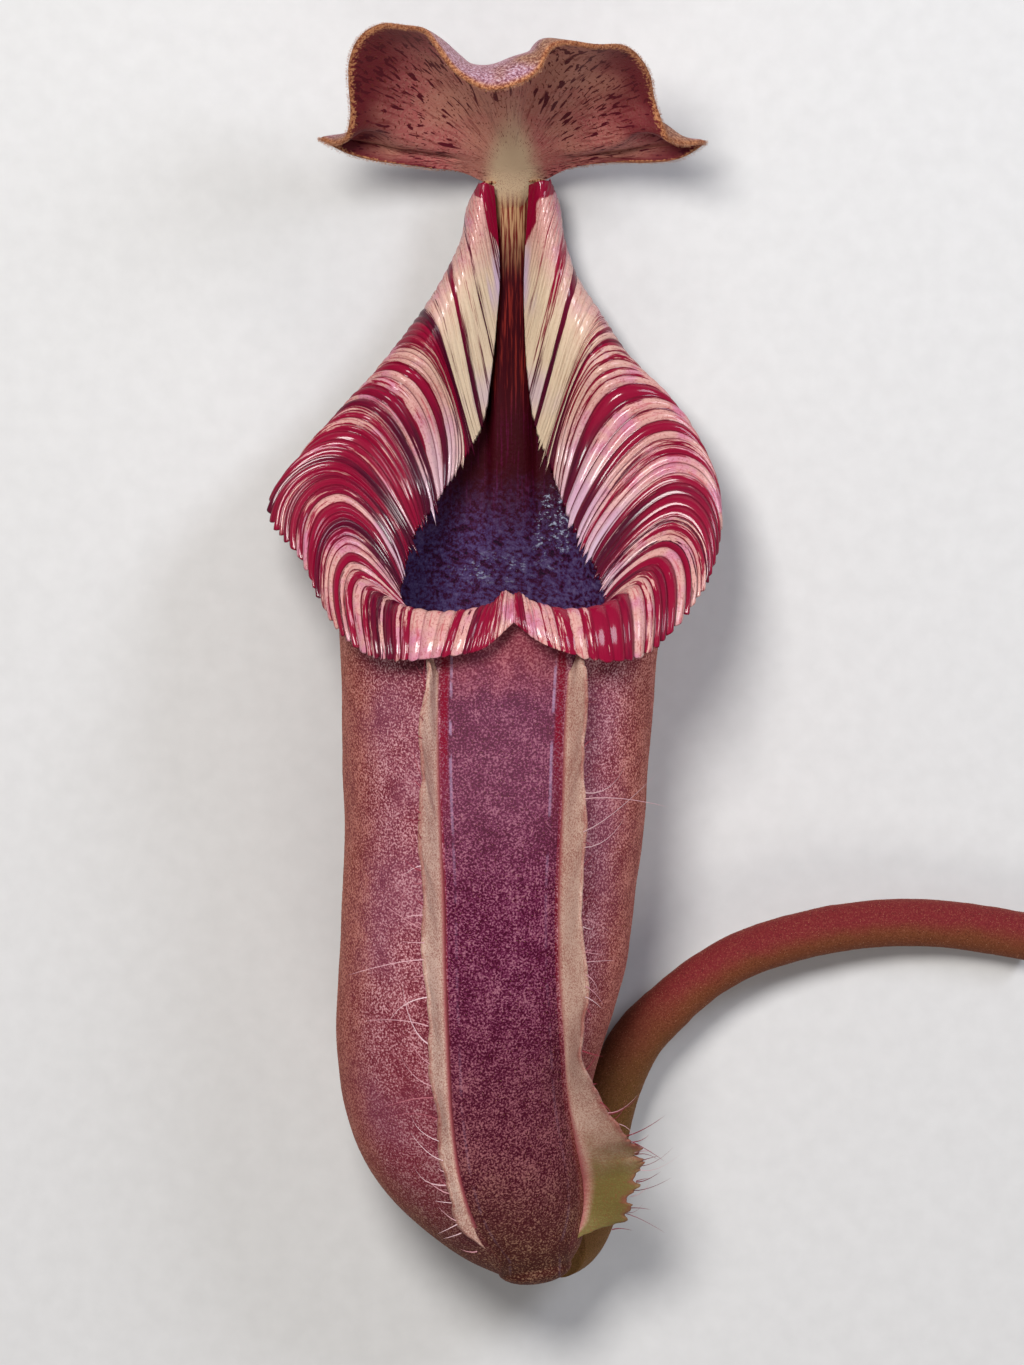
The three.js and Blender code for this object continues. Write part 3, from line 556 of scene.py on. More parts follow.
cupSkin = newFinish("speckledSkin")
here = pointIn("Object")
grain = noiseAt(here, 3100.0, 2.0, 0.6)
patch = noiseAt(here, 240.0, 3.0, 0.6)
broad = noiseAt(here, 45.0, 2.0, 0.5)
height, fromLeft, fromRight = (field(n) for n in ("height", "fromLeft", "fromRight"))
inPanel = times(between(fromLeft, -0.6, 0.4), between(fromRight, -0.6, 0.4))
speckle = plus(grain, swing(patch, 0.3))
sideColour = ramp(speckle, skin, dark=0.41, maroon=0.48, rosy=0.55, cream=0.64)
panelColour = ramp(speckle, skin, panelDark=0.41, panel=0.49, lilac=0.56, panelLight=0.65)
redTop = between(plus(height, times(patch, 10.0)), 100.0, 112.0, 0.0, 0.7)
light = between(speckle, 0.42, 0.6)
panelColour = blend(redTop, panelColour, blend(light, skin["topDark"], skin["topRosy"]))
colour = blend(inPanel, sideColour, panelColour)
notPanel = between(inPanel, 1.0, 0.0)
lilacTone = times(between(broad, 0.42, 0.6, 0.05, 0.3), notPanel)
colour = blend(lilacTone, colour, skin["bloom"])
# painted sheen: the velvet's orange-brown, seen edge-on, painted onto the sides and back with the sandy tones
edgeSheen = times(plus(field("edgeSheen"), swing(patch, 0.6)), notPanel)
sandy = blend(light, skin["sandDark"], skin["sand"])
colour = blend(between(edgeSheen, 0.1, 1.0, 0.0, 0.65), colour, sandy)
colour = blend(times(between(height, 60.0, 15.0, 0.0, 0.4), notPanel), colour, skin["dark"])
haze = times(between(height, 62.0, 86.0, 0.0, 0.14), inPanel)
colour = blend(haze, colour, skin["haze"])
low = minus(height, times(patch, 12.0))
footColour = blend(between(speckle, 0.52, 0.70), skin["foot"], skin["footLight"])
browner = blend(between(speckle, 0.42, 0.62), skin["brownDark"], skin["brown"])
colour = blend(times(between(low, 50.0, 8.0, 0.0, 0.7), inPanel), colour, browner)
colour = blend(between(low, 20.0, -4.0, 0.0, 0.9), colour, footColour)


def beside(place, width):  # a line along both edges of the panel
    lines = (between(absolute(minus(distance, place)), width, width * 0.4) for distance in (fromLeft, fromRight))
    return larger(*lines)


wideTop = times(beside(0.55, 0.9), between(height, 72.0, 94.0, 0.0, 0.95))
redLine = larger(wideTop, times(beside(0.0, 0.26), between(height, 8.0, 60.0, 0.1, 0.5)))
redLine = times(redLine, between(speckle, 0.44, 0.62, 1.0, 0.45))
colour = blend(redLine, colour, skin["red"])
# painted highlight: thin lilac lines of shine beside both edges of the panel, strongest near the top
paintedGlintLines = times(beside(1.6, 0.3), between(patch, 0.42, 0.55, 0.0, 0.4))
paintedGlintLines = times(paintedGlintLines, between(height, 60.0, 95.0, 0.15, 1.0))
colour = blend(paintedGlintLines, colour, skin["gloss"])
surface(Base_Color=colour, Roughness=0.7, Specular_IOR_Level=0.08,
        Sheen_Weight=0.1, Sheen_Roughness=0.45, Sheen_Tint=(0.8, 0.36, 0.18))
bumpy(plus(grain, times(patch, 1.2)), 0.5, 0.00025)

lining = {
    "deep": (0.010, 0.002, 0.014), "blue": (0.052, 0.025, 0.098), "wine": (0.046, 0.004, 0.028),
    "sheen": (0.115, 0.080, 0.18), "columnCream": (0.42, 0.24, 0.12), "columnRed": (0.14, 0.012, 0.010),
    "columnThread": (0.19, 0.016, 0.012), "columnDark": (0.038, 0.001, 0.004),
    # spark: the colour of the painted glint specks in the wet patch
    "columnWine": (0.085, 0.002, 0.026), "spark": (0.40, 0.44, 0.58)}

cupLining = newFinish("wetLining")
here = pointIn("Object")
mottle = noiseAt(here, 1500.0, 4.0, 0.7)
cloud = noiseAt(here, 380.0, 4.0, 0.7)
height = field("height")
granules = plus(times(mottle, 0.7), times(cloud, 0.4))
colour = ramp(granules, lining, deep=0.42, wine=0.50, blue=0.56, sheen=0.72)
threads = columnThreads()
darker = blend(between(plus(threads, times(mottle, 0.3)), 0.66, 0.9), lining["columnDark"], lining["columnWine"])
colour = blend(between(plus(height, times(cloud, 14.0)), 123.0, 138.0), colour, darker)
columnTop = blend(between(threads, 0.42, 0.55), lining["columnRed"], lining["columnCream"])
columnMiddle = blend(between(threads, 0.48, 0.64), lining["columnDark"], lining["columnThread"])
column = blend(between(height, 160.0, 171.0), columnMiddle, columnTop)
colour = blend(between(height, 137.0, 146.0), colour, column)
wet = times(field("wet"), between(cloud, 0.45, 0.55))
# painted highlight: pale glint specks painted into the colour of the wet patch
glintSpeckNoise = noiseAt(stretched(here, (1100.0, 2000.0, 1400.0)), 1.0, 3.0, 0.7)
paintedGlintSpecks = times(between(glintSpeckNoise, 0.53, 0.63, 0.0, 0.85), between(wet, 0.05, 0.4))
colour = blend(paintedGlintSpecks, colour, lining["spark"])
surface(Base_Color=colour, Roughness=0.6, Specular_IOR_Level=0.08, Coat_Weight=wet, Coat_Roughness=0.12)
granular = between(height, 142.0, 130.0, 0.2, 1.0)
ripples = noiseAt(here, 520.0, 2.0, 0.5)
bumpy(plus(times(mottle, granular), times(ripples, times(wet, 5.0))), 0.5, 0.0004)

settle(cupPiece, ["cup"], "cup_skin", cupSkin, cupLining)

# the peristome: ribs from the teeth over the roll to the margin
collar = {"topRibs": 5, "perRib": 8, "topRows": 34, "thickness": 1.1, "tooth": 2.8, "margin": 0.8,
          "steeper": 0.09, "pinch": 0.7, "bow": 0.05, "stations": 16,
          "left": {"ribs": 74, "spread": 0.35, "seed": 31, "toneSeed": 5, "swollen": 1.5, "spot": 0.034},
          "right": {"ribs": 62, "spread": 0.5, "seed": 47, "toneSeed": 83, "swollen": 0.9, "spot": 0.03}}
# height of the ribs, by station from the front's middle to the neck's top
ribHeights = [
    (0, 0.12), (0.8, 0.09), (2, 0.13), (3, 0.2), (4, 0.27), (6, 0.34), (9, 0.3), (11, 0.17), (12.5, 0.06), (17, 0.04)]


def collarSide(side):
    half = collar[side]
    draw = np.random.default_rng(half["seed"])
    total = half["ribs"] + collar["topRibs"]
    widths = 1 + half["spread"] * draw.uniform(-1, 1.0, total)
    widths *= 0.45 + 0.55 * ease(0, 8, np.arange(total))
    edges = np.concatenate([[0], np.cumsum(widths)])
    edges /= edges[half["ribs"]]
    share = np.linspace(0, 1, collar["perRib"] + 1)[:-1]
    u = np.append((edges[:-1, None] + np.diff(edges)[:, None] * share).ravel(), edges[-1])
    f = np.append(np.tile(share, total), 1.0) - 0.5
    rib = np.append(np.repeat(np.arange(total), collar["perRib"]), total - 1)
    t = evenly(mouth[side]["crest"], np.minimum(u, 1))
    t = np.where(u > 1, 1 + (u - 1) * collar["steeper"] / (edges[-1] - 1), t)
    return {"t": t, "f": f, "rib": rib, "turn": rib + f + 0.5,
            "crown": 0.55 * np.sqrt(np.clip(1 - (2 * f)**2, 0, 1)) + 0.45 * np.cos(np.pi * f)**2,
            "tall": draw.uniform(0.5, 1.35, total)[rib],
            "own": draw.uniform(-0.5, 0.5, total)[rib],
            "reach": draw.uniform(0.1, 1.0, total)[rib]**1.6,
            "toothReach": (0.1 + 1.2 * draw.uniform(0.0, 1.0, total)**2.6)[rib]}


def slanted(t, v):  # ribs lean to the pinch in the front's middle, bow over the roll and run steeply up the neck
    lean = collar["pinch"] * t * np.exp(-t / 0.09)
    steep = collar["steeper"] * ease(0.6, 0.9, t)
    bow = collar["bow"] * v**0.8 * (1 - v)**1.5 / 0.226 * ease(0.1, 0.3, t) * ease(0.8, 0.62, t)
    return np.clip(t - (lean + steep) * (1 - v) + bow, 0, 1)


# how red each stretch is, by station from the front's middle to the neck's top
redness = {
    "left": [
        (0, -0.45), (0.55, -0.4), (0.85, 0.25), (1.9, 0.35), (2.4, -0.35), (3.3, -0.25), (3.8, 0.3),
        (4.6, 0.05), (5.2, 0.1), (6, 0.15), (6.6, 0.2), (7.4, 0.2), (8, 0.1), (8.7, -0.15), (10, -0.1),
        (11, -0.1), (11.6, 0.25), (12.0, -0.38), (12.8, -0.38), (13.1, 0.25), (13.5, -0.42), (17, -0.42)],
    "right": [
        (0, -0.2), (0.25, 0.3), (0.6, 0.15), (0.9, -0.25), (2, -0.15), (2.8, 0.1), (3.8, 0.05), (4.6, -0.1),
        (5.6, 0.05), (6, -0.06), (8, -0.03), (9, 0.02), (9.6, 0.2), (10.4, -0.05), (11.5, 0.2), (12.0, 0.15),
        (12.4, -0.38), (13.3, -0.4), (14.3, -0.15), (14.6, -0.42), (17, -0.42)]}


def collarColours(side, s, v, places):
    seed, table = collar[side]["toneSeed"], np.array(redness[side])
    bias = np.interp(s["t"] * collar["stations"], table[:, 0], table[:, 1])[None, :]
    turn, v2 = np.meshgrid(s["turn"], v)
    t = s["t"][None, :]
    wide = (wander(s["rib"] * 0.37, seed) - 0.5)[None, :]
    line = (wander(s["turn"] * 2.6, seed + 2) - 0.5)[None, :]
    drift = wander2(turn * 0.9, v2 * 1.6, seed + 4) - 0.5
    groove = np.clip(1 - s["crown"] * 2.2, 0, 1)[None, :] * ease(0.8, 0.66, t)
    red = 0.5 + 0.5 * wide + 0.85 * s["own"][None, :] + 0.35 * line + 0.4 * drift + bias + 0.35 * groove
    dark = (0.1 + 0.9 * (wander(s["rib"] * 0.9, seed + 5)[None, :] - 0.3)
            + 0.4 * ease(0.5, 0.05, v2) * ease(0.1, 0.4, t))
    z = places[..., 2]
    reach = 0.36 * ease(165.5, 171, z) + 0.8 * ease(173.2, 175.8, z) + 0.06 * (wander(turn * 1.1, seed + 7) - 0.5)
    curl = ease(0.04, -0.02, v2 - reach) * ease(165, 167, z)
    red = np.where(t > 0.8, red * (1 - curl) + 0.9 * curl, red)
    neck = ease(0.6, 0.74, t) * ease(0.95, 0.3, v2) * ease(172, 158, z)
    grey = ease(0.34, 0.02, v2 + 0.25 * drift) * ease(0.2, 0.42, t) * ease(0.72, 0.6, t)
    upper = ease(0.24, 0.04, v2 + 0.2 * drift) * (
        ease(154, 160, z) * ease(169, 164, z) + 0.6 * ease(138, 142, z) * ease(148, 144, z))
    grey = 0.65 * grey * (0.5 + wander(s["rib"] * 0.8, seed + 8))[None, :]
    dark = dark * (1 - curl * ease(0.75, 0.85, t))
    grey = np.maximum(grey, upper * ease(0.7, 0.8, t))
    return {"red": red, "dark": np.clip(dark, 0, 1), "neck": neck, "grey": np.clip(grey, 0, 1),
            "crown": np.tile(s["crown"], (len(v), 1)), "station": np.tile(s["t"], (len(v), 1))}


def collarRows(side):
    half, s = collar[side], collarSide(side)
    v = np.concatenate([[0, 0.015, 0.04], np.linspace(0.08, 0.93, collar["topRows"] - 6), [0.96, 0.985, 1.0]])
    under = np.array([0.985, 0.93, 0.82, 0.68, 0.52, 0.36, 0.2, 0.08])
    heights = np.array(ribHeights)
    tall = np.interp(s["t"] * collar["stations"], heights[:, 0], heights[:, 1]) * s["tall"]
    rows = []
    for value in v:
        t = slanted(s["t"], value)
        strength = 0.3 + 0.7 * math.sin(math.pi * min(0.5, value * 1.3))
        lift = strength * tall * (2 * s["crown"] - 1.1)
        rows.append(collarPoint(side, t, value) + collarNormal(side, t, value) * lift[:, None])
    toothWay = unit(rows[0] - rows[4])
    sharp = np.clip(1 - np.abs(2 * s["f"]), 0, 1)**1.6 - 0.08
    fringe = 0.25 + 0.75 * ease(0.3, 0.45, s["t"]) * ease(0.82, 0.72, s["t"])
    fringe *= ease(0.95, 0.8, s["t"])
    for i, share in ((0, 1.0), (1, 0.75), (2, 0.4), (3, 0.12)):
        rows[i] = rows[i] + toothWay * (collar["tooth"] * s["toothReach"] * fringe * sharp * share)[:, None]
    edgeWay = unit(rows[-1] - rows[-5])
    uneven = wander(s["turn"] * 0.45, half["toneSeed"] + 9)
    scallop = np.where(s["t"] > 0.7, uneven, s["reach"] * (s["crown"] - 0.35))
    for i, share in ((-1, 1.0), (-2, 0.85), (-3, 0.5), (-4, 0.15)):
        rows[i] = rows[i] + edgeWay * (collar["margin"] * scallop * share * ease(0.03, 0.2, s["t"]))[:, None]
    for value in under:
        t = slanted(s["t"], value)
        thick = collar["thickness"] * (0.4 + 0.6 * math.sin(math.pi * value))
        rows.append(collarPoint(side, t, value) - collarNormal(side, t, value) * thick)
    v = np.concatenate([v, under])
    places = np.array(rows)
    pucker = half["swollen"] * np.exp(-((s["t"] - half["spot"]) / 0.024)**2) - 0.1 * np.exp(-(s["t"] / 0.008)**2)
    pucker = pucker[None, :] * (ease(0, 0.2, v) * ease(0.85, 0.5, v))[:, None]
    places = places + pucker[..., None] * np.array((0, -0.6, 0.9))
    for row, value in zip(places, v):  # columns that run out at a lobe's end meet in one point
        row[slanted(s["t"], value) > 1 - 1e-9] = row[-1]
    return places, collarColours(side, s, v, places)


def ringed(a, seam, b):  # both sides as one sheet, and the first row again, to close the section
    sheet = np.concatenate([a[:, :0:-1], seam, b[:, 1:]], axis=1)
    return np.concatenate([sheet, sheet[:1]], axis=0)


(leftRows, leftValues), (rightRows, rightValues) = collarRows("left"), collarRows("right")
seam = (leftRows[:, :1] + rightRows[:, :1]) / 2
collarPiece = gridPiece("ribbedCollar", laid(ringed(leftRows, seam, rightRows)))
keepValues(collarPiece, {key: ringed(leftValues[key], value[:, :1], value) for key, value in rightValues.items()})
weld(collarPiece)
bpy.ops.object.mode_set(mode="EDIT")
bpy.ops.mesh.select_all(action="DESELECT")
bpy.ops.mesh.select_non_manifold()
bpy.ops.mesh.fill_holes(sides=0)
bpy.ops.object.mode_set(mode="OBJECT")

gloss = {
    "pink": (0.53, 0.19, 0.28), "cream": (0.60, 0.32, 0.28), "ivory": (0.70, 0.55, 0.38),
    "crimson": (0.235, 0.001, 0.024), "wine": (0.060, 0.001, 0.014), "dust": (0.32, 0.07, 0.07),
    "groove": (0.10, 0.001, 0.012), "lilac": (0.55, 0.40, 0.50), "line": (0.40, 0.04, 0.06),
    "neckLine": (0.34, 0.14, 0.08)}

collarFinish = newFinish("glossyRibs")
uv, inNeck, station = pointIn("UV"), field("neck"), field("station")
fine = noiseAt(stretched(uv, (640.0, 6.0, 1.0)), 1.0, 4.0, 0.65)
dots = noiseAt(pointIn("Object"), 2600.0, 2.0, 0.6)
wash = noiseAt(pointIn("Object"), 180.0, 3.0, 0.6)
pale = blend(between(wash, 0.32, 0.56), gloss["pink"], gloss["cream"])
pale = blend(inNeck, pale, gloss["ivory"])
notNeck = between(inNeck, 0.6, 0.0, 0.15, 1.0)
pale = blend(times(between(dots, 0.52, 0.68, 0.0, 0.6), notNeck), pale, gloss["dust"])
lineTone = blend(inNeck, gloss["line"], gloss["neckLine"])
lineShare = times(between(fine, 0.5, 0.66, 0.0, 0.75), between(inNeck, 0.0, 1.0, 1.0, 0.65))
pale = blend(lineShare, pale, lineTone)
pale = blend(field("grey"), pale, gloss["lilac"])
deep = blend(between(plus(field("dark"), times(fine, 0.6)), 0.55, 1.0), gloss["crimson"], gloss["wine"])
deep = blend(between(fine, 0.64, 0.8, 0.0, 0.3), deep, gloss["pink"])
edge = plus(field("red"), swing(fine, 1.1))
redShare = blend(inNeck, between(edge, 0.46, 0.54), between(edge, 0.38, 0.64))
colour = blend(redShare, pale, deep)
# painted shade: the grooves between the ribs are darkened towards the groove colour, less at the front's middle and
# not up the neck
grooveShade = times(between(field("crown"), 0.4, 0.0, 0.0, 0.85),
                times(between(station, 0.8, 0.66), between(station, 0.12, 0.3, 0.35, 1.0)))
colour = blend(grooveShade, colour, gloss["groove"])
surface(Base_Color=colour, Roughness=0.5, Specular_IOR_Level=0.06, Coat_Weight=0.5, Coat_Roughness=0.12)
bumpy(fine, 0.7, 0.0003)
settle(collarPiece, ["peristome"], "collar_gloss", collarFinish)

# the lid
lid = {"rays": 180, "rings": 26, "thickness": 0.9, "root": (0.4, 11.6, 178.7), "least": 2, "more": 4,
       "forward": 14, "up": 14.5, "flattened": 16, "over": 2.6}
lidRim = smoothCurve([
    (-0.6, 15.8, 168.6), (-1.6, 13.9, 171.8), (-3.2, 12.8, 175.2), (-5.4, 12.8, 177.0), (-9.0, 11.0, 178.4),
    (-14.4, 8.5, 179.3), (-20.6, 6.0, 180.2), (-26.3, 4.5, 181.7), (-30.3, 3.0, 184.0), (-28.6, 0.4, 183.3),
    (-26.4, -3.0, 184.0), (-25.3, -6.5, 188.0), (-25.5, -11.0, 193.1), (-25.3, -15.0, 197.2),
    (-23.5, -19.0, 201.1), (-20.2, -22.0, 203.0), (-16.7, -25.0, 202.8), (-13.4, -28.0, 202.2),
    (-11.5, -30.5, 200.0), (-8.4, -32.0, 195.9), (-3.3, -33.0, 193.2), (1.5, -32.8, 194.3), (4.4, -31.8, 196.2),
    (6.2, -29.6, 199.3), (8.9, -27.0, 200.3), (13.6, -24.0, 199.8), (17.9, -20.0, 199.6), (20.6, -16.0, 197.3),
    (22.2, -12.0, 194.4), (22.9, -7.5, 190.6), (24.2, -6.0, 186.6), (25.4, -5.0, 184.2), (28.0, -2.0, 183.2),
    (31.2, 3.0, 183.4), (27.0, 5.0, 180.7), (18.2, 7.5, 180.1), (12.8, 9.5, 179.5), (9.3, 11.2, 178.6),
    (6.4, 12.8, 177.0), (4.1, 12.8, 175.2), (2.4, 13.9, 171.8), (1.5, 15.8, 168.6)], closed=True)

root = np.array(lid["root"])
end = lidRim(np.linspace(0, 1, lid["rays"] + 1))
end[-1] = end[0]
span = end - root
forward = np.maximum(0, -span[:, 1]) / 45
middle = np.exp(-(end[:, 0] - 0.5)**2 / 130) * ease(0.6, 0.95, forward)
bow = root + span * 0.55 + (lid["least"] + lid["more"] * forward)[:, None] * np.array((0, 0.6, 0.8))
bow = bow + middle[:, None] * np.array((0, -lid["forward"], lid["up"]))
ringShares = np.linspace(0, 1, lid["rings"] + 1)
places = np.array([root * (1 - k)**2 + 2 * k * (1 - k) * bow + k * k * end for k in ringShares])
angle = np.linspace(0, 2 * np.pi, lid["rays"] + 1)
ripple = 0.25 * (wander(angle * 6, 3) - 0.5)
ripple[-1] = ripple[0]
places = places + (ease(0.2, 1, ringShares)[:, None] * ripple)[..., None] * np.array((0, 0.6, 0.8))
# the rim rolls forward beside both corner points
cornerPoints = [(-27.4, 184.0, 2.6), (27.2, 183.8, 3.6)]
rolled = sum(size * np.exp(-((end[:, 0] - x) / 2.2)**2 - ((end[:, 2] - z) / 1.8)**2) for x, z, size in cornerPoints)
crest = np.sin(np.pi * np.clip((ringShares - 0.58) / 0.42, 0, 1)**1.5)**1.5
places = places + (crest[:, None] * rolled)[..., None] * np.array((0, 0.2, 1.0))
# no crease round the root: the height over one plane is averaged over a few mm
flatWay = unit(np.cross(places[3, 1:] - root, places[3, :-1] - root).mean(axis=0))
acrossWay = unit(np.cross(flatWay, (0, 0, 1.0)))
offset = (places - root).reshape(-1, 3)
rise, distance = offset @ flatWay, np.linalg.norm(offset, axis=1)
near = distance < lid["flattened"]
onPlane = np.stack([offset @ acrossWay, offset @ np.cross(flatWay, acrossWay)], axis=1)[near]
gap = np.sum((onPlane[:, None] - onPlane[None])**2, axis=2)
weights = np.exp(-gap / (2 * lid["over"]**2)) * distance[near][None]
averaged = rise.copy()
averaged[near] = (weights @ rise[near]) / weights.sum(axis=1)
change = (averaged - rise) * ease(13, 7, distance)
lidGrid = places + (change[:, None] * flatWay).reshape(places.shape)
lidPiece = gridPiece("wavedLid", laid(lidGrid))
keepValues(lidPiece, {"outToRim": np.tile(ringShares[:, None], (1, lid["rays"] + 1)),
                      "across": lidGrid[..., 0], "height": lidGrid[..., 2]})
weld(lidPiece)
lidPiece.data.materials.append(None)
lidPiece.data.materials.append(None)
finishWith(lidPiece, "SOLIDIFY", thickness=lid["thickness"] / 1000, offset=0.0, use_even_offset=False,
           material_offset=1)
finishWith(lidPiece, "SUBSURF", levels=1, render_levels=1)
bpy.ops.object.shade_smooth()

lidTones = {
    "mauve": (0.37, 0.088, 0.088), "tan": (0.42, 0.175, 0.125), "cream": (0.48, 0.35, 0.22),
    "maroon": (0.075, 0.003, 0.010), "margin": (0.12, 0.009, 0.016), "rim": (0.46, 0.20, 0.09),
    "rimDark": (0.17, 0.04, 0.016), "lilac": (0.56, 0.42, 0.52), "dust": (0.44, 0.22, 0.17),
    "thread": (0.15, 0.02, 0.02), "dot": (0.13, 0.02, 0.016),
    "brownDark": (0.11, 0.03, 0.02), "brown": (0.30, 0.12, 0.07), "brownLight": (0.48, 0.30, 0.20),
    "frostDark": (0.14, 0.04, 0.07), "frost": (0.40, 0.20, 0.24)}


def rimTone(grain):
    return blend(between(grain, 0.4, 0.6), lidTones["rimDark"], lidTones["rim"])


lidUnder = newFinish("streakedLid")
uv = pointIn("UV")
out, across, height = (field(name) for name in ("outToRim", "across", "height"))
threads = noiseAt(stretched(uv, (190.0, 7.0, 1.0)), 1.0, 3.0, 0.6)
fleckScales = ((120.0, 9.0, 1.0), (230.0, 12.0, 1.0))
longFlecks, shortFlecks = (noiseAt(stretched(uv, scale), 1.0, 1.0) for scale in fleckScales)
fleckShares = {0: between(out, 0.4, 0.55), 2: longFlecks, 3: shortFlecks}
flecks = add("ShaderNodeMix", fleckShares, data_type="FLOAT").outputs[0]
crowd = noiseAt(pointIn("Object"), 110.0, 2.0)
grain = noiseAt(pointIn("Object"), 2300.0, 2.0, 0.6)
broad = noiseAt(pointIn("Object"), 60.0, 3.0)
colour = blend(between(broad, 0.38, 0.62), lidTones["mauve"], lidTones["tan"])
colour = blend(between(grain, 0.45, 0.65, 0.0, 0.5), colour, lidTones["dust"])
colour = blend(between(threads, 0.5, 0.66, 0.0, 0.65), colour, lidTones["thread"])
sideways = absolute(minus(across, 0.4))
# the lid's sides darken to maroon towards the margin: partly the lid's own colour, partly painted shade where the
# surface turns at the margin
toMargin = plus(out, swing(crowd, 0.5))
colour = blend(times(between(toMargin, 0.5, 0.95, 0.0, 0.97), between(sideways, 8.0, 19.0)),
               colour, lidTones["margin"])
funnel = plus(between(height, 192.0, 176.0, -1.2, 2.6), times(crowd, 2.4))
centre = between(minus(sideways, funnel), 2.5, -1.0)
centre = times(centre, between(height, 194.0, 181.0))
colour = blend(centre, colour, lidTones["cream"])
fleck = plus(flecks, swing(crowd, 0.35))
mark = times(between(fleck, 0.585, 0.62), between(out, 0.22, 0.36))
mark = times(mark, between(centre, 0.9, 0.5))
colour = blend(mark, colour, lidTones["maroon"])
dots = noiseAt(stretched(uv, (260.0, 50.0, 1.0)), 1.0, 1.0)
colour = blend(times(between(dots, 0.62, 0.68), between(out, 0.06, 0.12)), colour, lidTones["dot"])
columnTone = blend(between(columnThreads(), 0.42, 0.55), lining["columnRed"], lining["columnCream"])
onTongue = times(between(height, 176.0, 172.0), between(sideways, 3.0, 2.4))
colour = blend(onTongue, colour, columnTone)
sandy = plus(out, swing(grain, 0.12))
colour = blend(times(between(sandy, 0.965, 0.995), between(height, 177.4, 178.8)), colour, rimTone(grain))
surface(Base_Color=colour, Roughness=0.55, Specular_IOR_Level=0.12, Sheen_Weight=0.08, Sheen_Roughness=0.4,
        Sheen_Tint=(0.8, 0.5, 0.35))
bumpy(plus(threads, grain), 0.35, 0.0003)

lidOver = newFinish("frostedLid")
grain = noiseAt(pointIn("Object"), 2400.0, 3.0, 0.65)
brown = ramp(grain, lidTones, brownDark=0.38, brown=0.52, brownLight=0.66)
frost = ramp(grain, lidTones, frostDark=0.38, frost=0.52, lilac=0.66)
where = noiseAt(pointIn("Object"), 75.0, 2.0)
colour = blend(between(where, 0.38, 0.52), brown, frost)
colour = blend(between(field("outToRim"), 0.95, 1.0), colour, rimTone(grain))
surface(Base_Color=colour, Roughness=0.6, Specular_IOR_Level=0.15, Sheen_Weight=0.12, Sheen_Roughness=0.4,
        Sheen_Tint=(0.8, 0.5, 0.35))
bumpy(grain, 0.4, 0.0003)
settle(lidPiece, ["lid"], "lid_skin", lidOver, lidUnder)

# the tendril, from inside the cup's foot to the cut end
stalk = {"radii": [6.0, 6.2, 5.9, 5.4, 5.0, 4.7], "joint": 0.235, "radius": 3.85, "around": 48, "steps": 230}
stalkPath = smoothCurve([
    (5.6, 4.0, 5.5), (8.9, 8.0, 6.4), (11.2, 11.0, 9.6), (12.7, 12.9, 14.7), (14.0, 13.7, 20.3),
    (15.6, 13.9, 26.3), (18.0, 14.0, 32.9), (21.2, 14.1, 38.3), (25.4, 14.3, 42.6), (31.1, 14.6, 47.4),
    (37.0, 15.1, 50.9), (43.8, 15.7, 53.3), (52.7, 16.6, 55.3), (61.3, 17.5, 56.1), (70.0, 18.2, 55.9),
    (78.0, 18.45, 54.8), (85.3, 18.45, 53.5)])


def tube(path, u, radius, around):
    t = evenly(path, u)
    centre = path(t)
    tangent = unit(path(np.minimum(1, t + 0.002)) - path(np.maximum(0, t - 0.002)))
    side = unit(np.cross((0, 1.0, 0), tangent))
    over = np.cross(tangent, side)
    a = np.linspace(0, 2 * np.pi, around + 1)
    ring = side[:, None] * np.cos(a)[None, :, None] + over[:, None] * np.sin(a)[None, :, None]
    return centre[:, None] + ring * np.asarray(radius)[..., None], ring


u = np.linspace(0.02, 1, stalk["steps"] + 1)
near = np.interp(u, np.linspace(0, stalk["joint"], 6), stalk["radii"])
far = np.interp(u, [stalk["joint"], stalk["joint"] + (1 - stalk["joint"]) / 3], [stalk["radii"][-1], stalk["radius"]])
radius = np.where(u < stalk["joint"], near, far)
radius = np.convolve(np.pad(radius, 8, mode="edge"), np.ones(17) / 17, mode="valid")
aroundGrid, alongGrid = np.meshgrid(np.linspace(0, 6, stalk["around"] + 1), u * 60)
bumps = 0.14 * (wander2(alongGrid, aroundGrid, 9) - 0.65)
bumps[:, -1] = bumps[:, 0]
stalkGrid, ring = tube(stalkPath, u, radius[:, None] + bumps, stalk["around"])
stalkGrid[0], stalkGrid[-1] = stalkGrid[0].mean(axis=0), stalkGrid[-1].mean(axis=0)
tendrilPiece = gridPiece("velvetTendril", laid(stalkGrid))
keepValues(tendrilPiece, {"up": ring[..., 2], "along": np.tile(u[:, None], (1, stalk["around"] + 1))})
weld(tendrilPiece)

